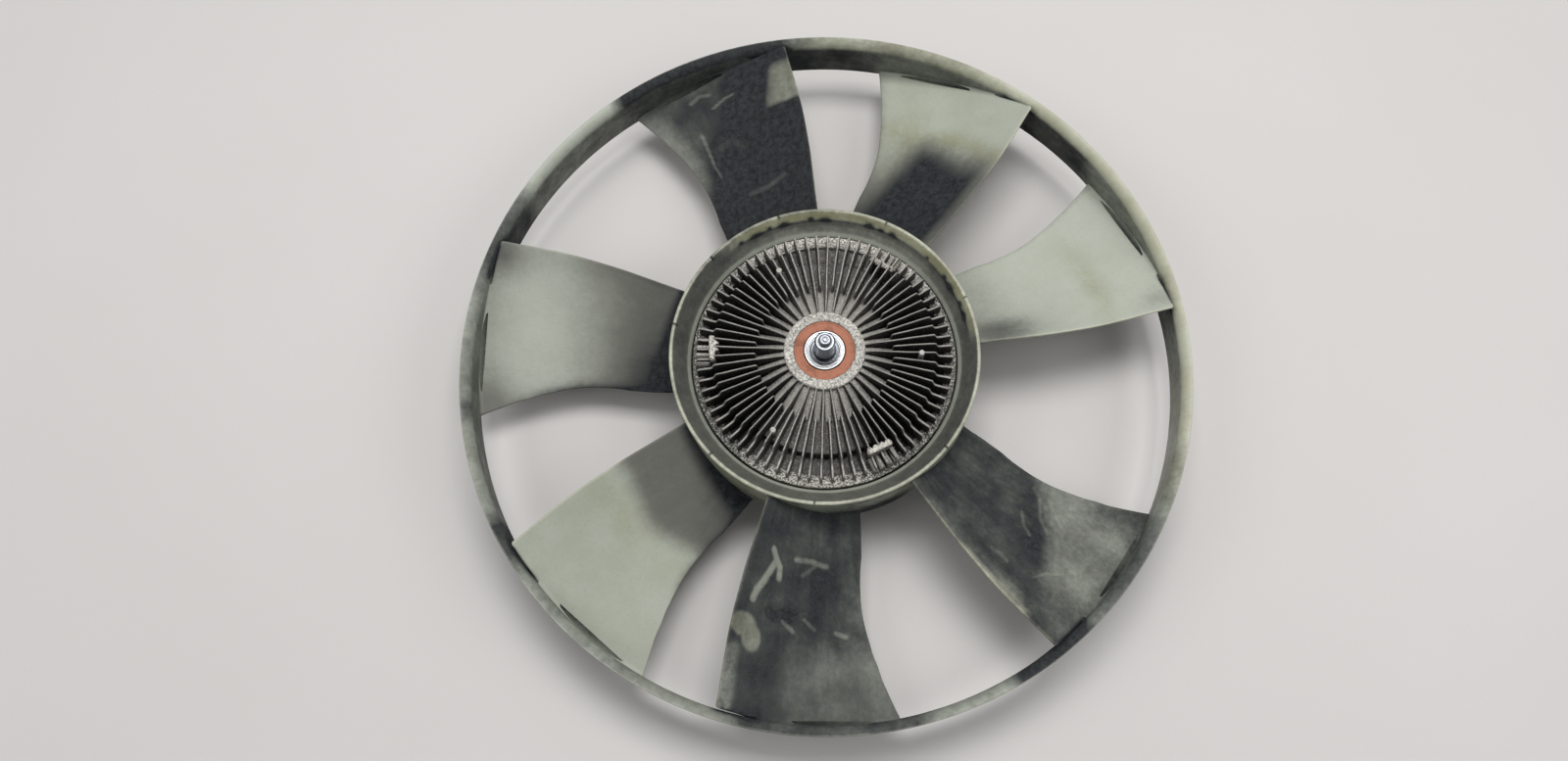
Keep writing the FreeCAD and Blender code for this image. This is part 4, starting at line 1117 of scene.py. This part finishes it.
race = Bag()
rp = [(10.02, 62.2), (13.2, 62.2), (13.2, 65.4), (12.45, 66.4), (12.3, 68.2), (12.45, 70.0), (13.2, 71.0), (13.2, 74.3), (13.9, 74.3),
      (13.9, 75.4), (13.5, 75.9), (12.75, 75.9), (12.55, 75.1), (12.05, 75.1), (11.85, 75.9), (11.2, 75.9), (10.7, 75.4), (10.3, 75.4), (10.02, 75.0)]
rr_ = [0.3, 0.3, 0.1, 0.4, 0.6, 0.4, 0.1, 0.2, 0.1, 0.3, 0.3, 0.12, 0.1, 0.1, 0.12, 0.2, 0.1, 0.1, 0.1]
lathe(race, refine(fillet(rp, rr_, 3), 1.0), 200)
build("bearing_inner_ring", race, MAT_BRIGHT, "input_shaft", ["bearing_inner_race"])

shaft = Bag()
SEG = 144


def threaded(bag, r_major, pitch, z0, z1, z_start, z_end, depth, seg, chamfer, below, above):
    """A real helical thread: radius swings with height and angle; it fades in at the start and is chamfered at the top.
    """
    nz = int((z1 - z0) / pitch * 14)
    zs = np.linspace(z0, z1, nz + 1)
    th = np.arange(seg) * 2 * math.pi / seg
    rows = [np.c_[np.full(seg, r), th, np.full(seg, zz)] for r, zz in below]
    for zz in zs:
        ph = (zz - z0) / pitch - th / (2 * math.pi)
        f = ph - np.floor(ph)
        tri = 1 - np.abs(2 * f - 1)                        # 0 root .. 1 crest
        tri = np.clip((tri - 0.16) / 0.62, 0, 1)
        fade = smooth01((zz - z_start) / (pitch * 0.8)) * 1.0
        fade2 = smooth01((z_end - zz) / (pitch * 0.9))
        r_ = r_major - depth * (1 - tri) * fade
        lim = r_major - max(0.0, zz - (z1 - chamfer)) * 1.05
        r_ = np.minimum(r_, lim)
        r_ = r_ * 1.0
        if zz > z_end:
            r_ = np.minimum(r_, r_major - depth * (1 - fade2) * 0.0)
        rows.append(np.c_[r_, th, np.full(seg, zz)])
    rows += [np.c_[np.full(seg, r), th, np.full(seg, zz)] for r, zz in above]
    P = np.array(rows)
    V = np.stack([P[..., 0] * np.cos(P[..., 1]), P[..., 0] * np.sin(P[..., 1]), P[..., 2]], -1)
    n, m_ = V.shape[:2]
    F = []
    for i in range(n - 1):
        for j in range(m_):
            k = (j + 1) % m_
            F.append((i * m_ + j, i * m_ + k, (i + 1) * m_ + k, (i + 1) * m_ + j))
    F.append(tuple(range(m_ - 1, -1, -1)))
    F.append(tuple(range((n - 1) * m_, n * m_)))
    bag.add(V.reshape(-1, 3), F)


below = [(7.2, 44.4), (7.7, 44.6), (8.0, 45.2), (8.0, 59.4), (12.2, 59.4), (12.2, 62.2), (10.0, 62.2), (10.0, 75.9), (9.85, 76.35), (9.55, 76.6),
         (9.25, 76.6), (9.15, 76.5), (9.1, 76.1), (8.95, 76.0), (8.8, 76.1), (8.75, 76.5), (8.65, 76.6), (7.75, 76.6), (7.6, 76.5), (7.5, 76.0), (6.7, 75.8), (6.25, 75.9),
         (6.15, 76.4), (6.15, 77.9)]
above = [(5.6, 94.0), (4.25, 94.0), (4.0, 94.2), (4.0, 97.0), (3.8, 97.6), (3.3, 97.95), (2.2, 98.0), (2.05, 97.9), (1.9, 97.75), (1.7, 97.75), (1.55, 97.9), (1.4, 98.0), (0.5, 98.0)]
threaded(shaft, 7.0, 1.5, 78.0, 94.0, 78.0, 94.0, 0.85, SEG, 1.1, below, above)
ob_shaft = build("threaded_input_shaft", shaft, MAT_SHAFT, "input_shaft", ["input_shaft"], sharp=40)

# =====================================================================
# front cover, seen from the radiator side
# =====================================================================
cv = Bag()
cp = [(2.9, 12.0), (2.9, 12.8), (4.4, 12.8), (4.4, 14.8), (5.0, 14.8), (5.0, 26.0), (10.0, 26.0), (10.0, 18.0), (50.0, 18.0),
      (56.0, 24.0), (56.0, 41.6), (62.0, 41.6), (62.0, 44.0), (68.1, 44.0), (68.1, 42.6), (69.7, 42.6), (69.7, 44.0), (77.0, 44.0),
      (77.0, 40.0), (69.5, 40.0), (66.0, 30.0), (60.0, 21.0), (54.0, 16.6), (37.0, 13.6), (37.0, 0.0), (33.5, 0.0), (33.5, 12.0),
      (21.0, 12.0), (19.5, 12.8), (8.5, 12.8), (7.5, 12.0)]
cf = [0.2, 0.1, 0.1, 0.1, 0.1, 0.5, 0.6, 1.5, 3.0, 2.0, 0.3, 0.3, 0.3, 0.1, 0.1, 0.1, 0.1, 0.5, 0.6, 1.5, 3.0, 4.0, 4.0, 1.5, 0.8, 0.8, 1.5,
      0.5, 0.5, 0.5, 0.5]
cp = refine(fillet(cp, cf, 4), 2.0)
lathe(cv, cp, 360)
V = cv.v[0]
r = np.hypot(V[:, 0], V[:, 1])
outer_front = (V[:, 2] < 41) & (r > 36.5)
# painted shade with grime on the outer front and in the central recess
cv.a[0] = {"top": (V[:, 2] < 0.6).astype(float), "deep": 0.55 * outer_front + 0.3 * ((r < 33) & (V[:, 2] < 14)), "speck": np.full(len(V), 0.3)}
cv.names |= {"top", "deep", "speck"}


def cover_fin(bag, deg):
    prof_ = [(36.6, 15.0, 1.6), (36.8, 15.0, 1.5), (40, 15.0, 1.4), (46, 15.6, 1.0), (52, 17.0, 1.0), (57, 19.5, 1.0), (59.2, 21.6, 1.5), (60.6, 23.0, 3.0),
             (63.5, 27.0, 9.0), (66.5, 32.0, 15.2), (69.5, 38.5, 21.4), (72.5, 40.4, 27.4), (75.0, 40.4, 32.4), (75.9, 40.4, 35.0), (76.3, 40.4, 38.0)]
    secs, tops, deeps = [], [], []
    for k, (r, zb, zt) in enumerate(prof_):
        h = zb - zt
        ht = 0.72 + 0.02 * (22 - min(22, h))
        hb = ht + 0.025 * h
        if k in (0, len(prof_) - 1):
            ht, hb = ht * 0.7, hb * 0.7
        pts = [(-hb, zb + 0.5), (-ht, zt + 0.6), (-ht + 0.18, zt + 0.18), (-ht + 0.55, zt), (ht - 0.55, zt), (ht - 0.18, zt + 0.18), (ht, zt + 0.6), (hb, zb + 0.5)]
        secs.append([(r, x, y) for x, y in pts])
        for x, y in pts:
            tops.append(math.exp(-((y - zt) / 0.5) ** 2))
            # painted shade with grime, darker deeper into the gaps between the fins
            deeps.append(min(1.0, max(0.0, (y - zt) / 10.0)) * 0.8)
    loft(bag, spin(np.array(secs), deg), caps=True, flip=False, top=np.array(tops), deep=np.array(deeps), speck=0.2)


for i in range(36):
    cover_fin(cv, 5.0 + 10.0 * i)
build("clutch_front_cover", cv, MAT_CAST, "fan", ["front_cover"], sharp=38)


# =====================================================================
# fasteners
# =====================================================================
def hexa(bag, cx, cy, af, z0, z1, down_=False, seg=72, socket=None):
    """Hexagon with a chamfered face. z0 is its seat, z1 its outer face."""
    th = np.arange(seg) * 2 * math.pi / seg
    rh = af / 2 / np.cos((th + math.pi / 6) % (math.pi / 3) - math.pi / 6)
    rc = af / 2 * 0.97
    sg = -1.0 if z1 < z0 else 1.0
    zch = z1 - sg * (rh - rc) * 0.55
    rows = [(rh, np.full(seg, z0)), (rh, zch), (np.full(seg, rc) * 0.995, np.full(seg, z1)), (np.full(seg, rc * 0.72), np.full(seg, z1)),
            (np.full(seg, rc * 0.66), np.full(seg, z1 - sg * 0.25)), (np.full(seg, rc * 0.1), np.full(seg, z1 - sg * 0.25))]
    V = np.concatenate([np.c_[cx + r * np.cos(th), cy + r * np.sin(th), zz] for r, zz in rows])
    F = []
    n = len(rows)
    for i in range(n - 1):
        for j in range(seg):
            k = (j + 1) % seg
            F.append((i * seg + j, i * seg + k, (i + 1) * seg + k, (i + 1) * seg + j))
    F.append(tuple(range((n - 1) * seg, n * seg)))
    F.append(tuple(range(seg - 1, -1, -1)))
    if sg < 0:
        F = [tuple(reversed(q)) for q in F]
    bag.add(V, F)


bolts = Bag()
for a in (58.0, 178.0, 298.0):
    ca, sa = math.cos(math.radians(a)), math.sin(math.radians(a))
    b = Bag()
    lathe(b, fillet([(0, 38.0), (6.4, 38.0), (6.4, 37.3), (5.6, 36.7), (0, 36.5)], [0, 0.1, 0.25, 0.3, 0], 3, closed=False), 64, closed=False)
    hexa(b, 0, 0, 10.0, 36.9, 32.2)
    t = Bag()
    threaded(t, 2.98, 1.0, 44.2, 55.0, 44.2, 55.0, 0.5, 40, 0.6, [(1.0, 37.5), (2.98, 37.6), (2.98, 44.1)], [(1.2, 55.0)])
    b.add(t.v[0], t.f)
    for v, ff in ((np.concatenate(b.v), b.f),):
        v = v.copy()
        v[:, 0] += 84.2 * ca
        v[:, 1] += 84.2 * sa
        bolts.add(v, ff)
build("fan_fixing_bolts", bolts, MAT_ZINC, "fan", ["fan_bolts"], sharp=30)

screws = Bag()
for i in range(6):
    a = math.radians(60.0 * i)
    b = Bag()
    # pan head with a hexagon socket
    seg = 48
    th = np.arange(seg) * 2 * math.pi / seg
    hexr = 1.3 / np.cos((th + math.pi / 6) % (math.pi / 3) - math.pi / 6)
    rows = [(3.5, 40.0), (3.5, 38.0), (3.35, 37.6), (3.0, 37.3), (2.4, 37.2), (1.75, 37.2)]
    rings = [np.c_[r * np.cos(th), r * np.sin(th), np.full(seg, z_)] for r, z_ in rows]
    rings.append(np.c_[hexr * 1.03 * np.cos(th), hexr * 1.03 * np.sin(th), np.full(seg, 37.35)])
    rings.append(np.c_[hexr * np.cos(th), hexr * np.sin(th), np.full(seg, 38.8)])
    rings.append(np.c_[0.15 * np.cos(th), 0.15 * np.sin(th), np.full(seg, 39.1)])
    V = np.concatenate(rings)
    F = []
    for q in range(len(rings) - 1):
        for j in range(seg):
            k = (j + 1) % seg
            F.append((q * seg + k, q * seg + j, (q + 1) * seg + j, (q + 1) * seg + k))
    F.append(tuple(range(seg)))
    F.append(tuple(range(len(rings) * seg - 1, (len(rings) - 1) * seg - 1, -1)))
    b.add(V, F)
    t = Bag()
    threaded(t, 1.98, 0.7, 41.5, 51.0, 41.5, 51.0, 0.35, 32, 0.4, [(0.8, 39.6), (1.98, 39.7), (1.98, 41.4)], [(0.8, 51.0)])
    b.add(t.v[0], t.f)
    v = np.concatenate(b.v)
    v[:, 0] += 73.4 * math.cos(a)
    v[:, 1] += 73.4 * math.sin(a)
    screws.add(v, b.f)
build("cover_fixing_screws", screws, MAT_ZINC, "fan", ["cover_screws"], sharp=30)

# =====================================================================
# bimetal coil and valve shaft
# =====================================================================
coil = Bag()
turns, n = 4.25, 4.25 * 72
secs = []
for k in range(int(n) + 1):
    f = k / n
    a = 2 * math.pi * turns * f
    rc = 3.7 + (15.0 - 3.7) * f
    hw = 0.45
    for_pts = [(-hw, 2.75), (-hw + 0.12, 2.55), (hw - 0.12, 2.55), (hw, 2.75), (hw, 9.25), (hw - 0.12, 9.45), (-hw + 0.12, 9.45), (-hw, 9.25)]
    secs.append([((rc + x) * math.cos(a), (rc + x) * math.sin(a), zz) for x, zz in for_pts])
loft(coil, np.array(secs), caps=True, flip=False)
build("bimetal_spiral", coil, MAT_BIMETAL, "fan", ["bimetal_coil"], sharp=35)

# =====================================================================
# floor, light
# =====================================================================
fl = bpy.data.meshes.new("floor")
gx = 40
pts, fcs = [], []
for i in range(gx + 1):
    for j in range(gx + 1):
        pts.append((-3.0 + 6.0 * i / gx, -3.0 + 6.0 * j / gx, 0.0))
for i in range(gx):
    for j in range(gx):
        a = i * (gx + 1) + j
        fcs.append((a, a + gx + 1, a + gx + 2, a + 1))
fl.from_pydata(pts, [], fcs)
fl.update()
floor = bpy.data.objects.new("floor", fl)
bpy.context.scene.collection.objects.link(floor)
q = M("pale_floor")
c = q.mix(q.noise(3.0, 3.0, 0.5), srgb(198, 195, 192), srgb(207, 204, 202))
c = q.mix(q.math("MULTIPLY", q.noise(260.0, 2.0, 0.6), 0.25), c, srgb(196, 190, 184))
q.put("Base Color", c)
q.put("Roughness", 0.75)
q.put("Specular IOR Level", 0.2)
fl.materials.append(q.mat)

world = bpy.data.worlds.new("studio")
bpy.context.scene.world = world
world.use_nodes = True
bg = world.node_tree.nodes["Background"]
bg.inputs[0].default_value = (0.94, 0.97, 1.0, 1.0)
bg.inputs[1].default_value = 0.34


def area(name, loc, target, size, power, color=(1, 1, 1)):
    d = bpy.data.lights.new(name, "AREA")
    d.shape = "RECTANGLE"
    d.size, d.size_y = size
    d.energy = power
    d.color = color
    o = bpy.data.objects.new(name, d)
    bpy.context.scene.collection.objects.link(o)
    o.location = loc
    o.rotation_euler = (Vector(target) - Vector(loc)).to_track_quat("-Z", "Y").to_euler()
    return o


area("key", (0.10, 0.55, 2.1), (0, 0, 0), (1.3, 0.8), 34)
area("fill", (-1.5, -0.2, 1.7), (0, 0, 0), (1.0, 1.0), 7)
area("side", (1.5, -0.3, 1.6), (0, 0, 0), (0.9, 0.9), 8)

bpy.context.scene.view_settings.view_transform = "Standard"
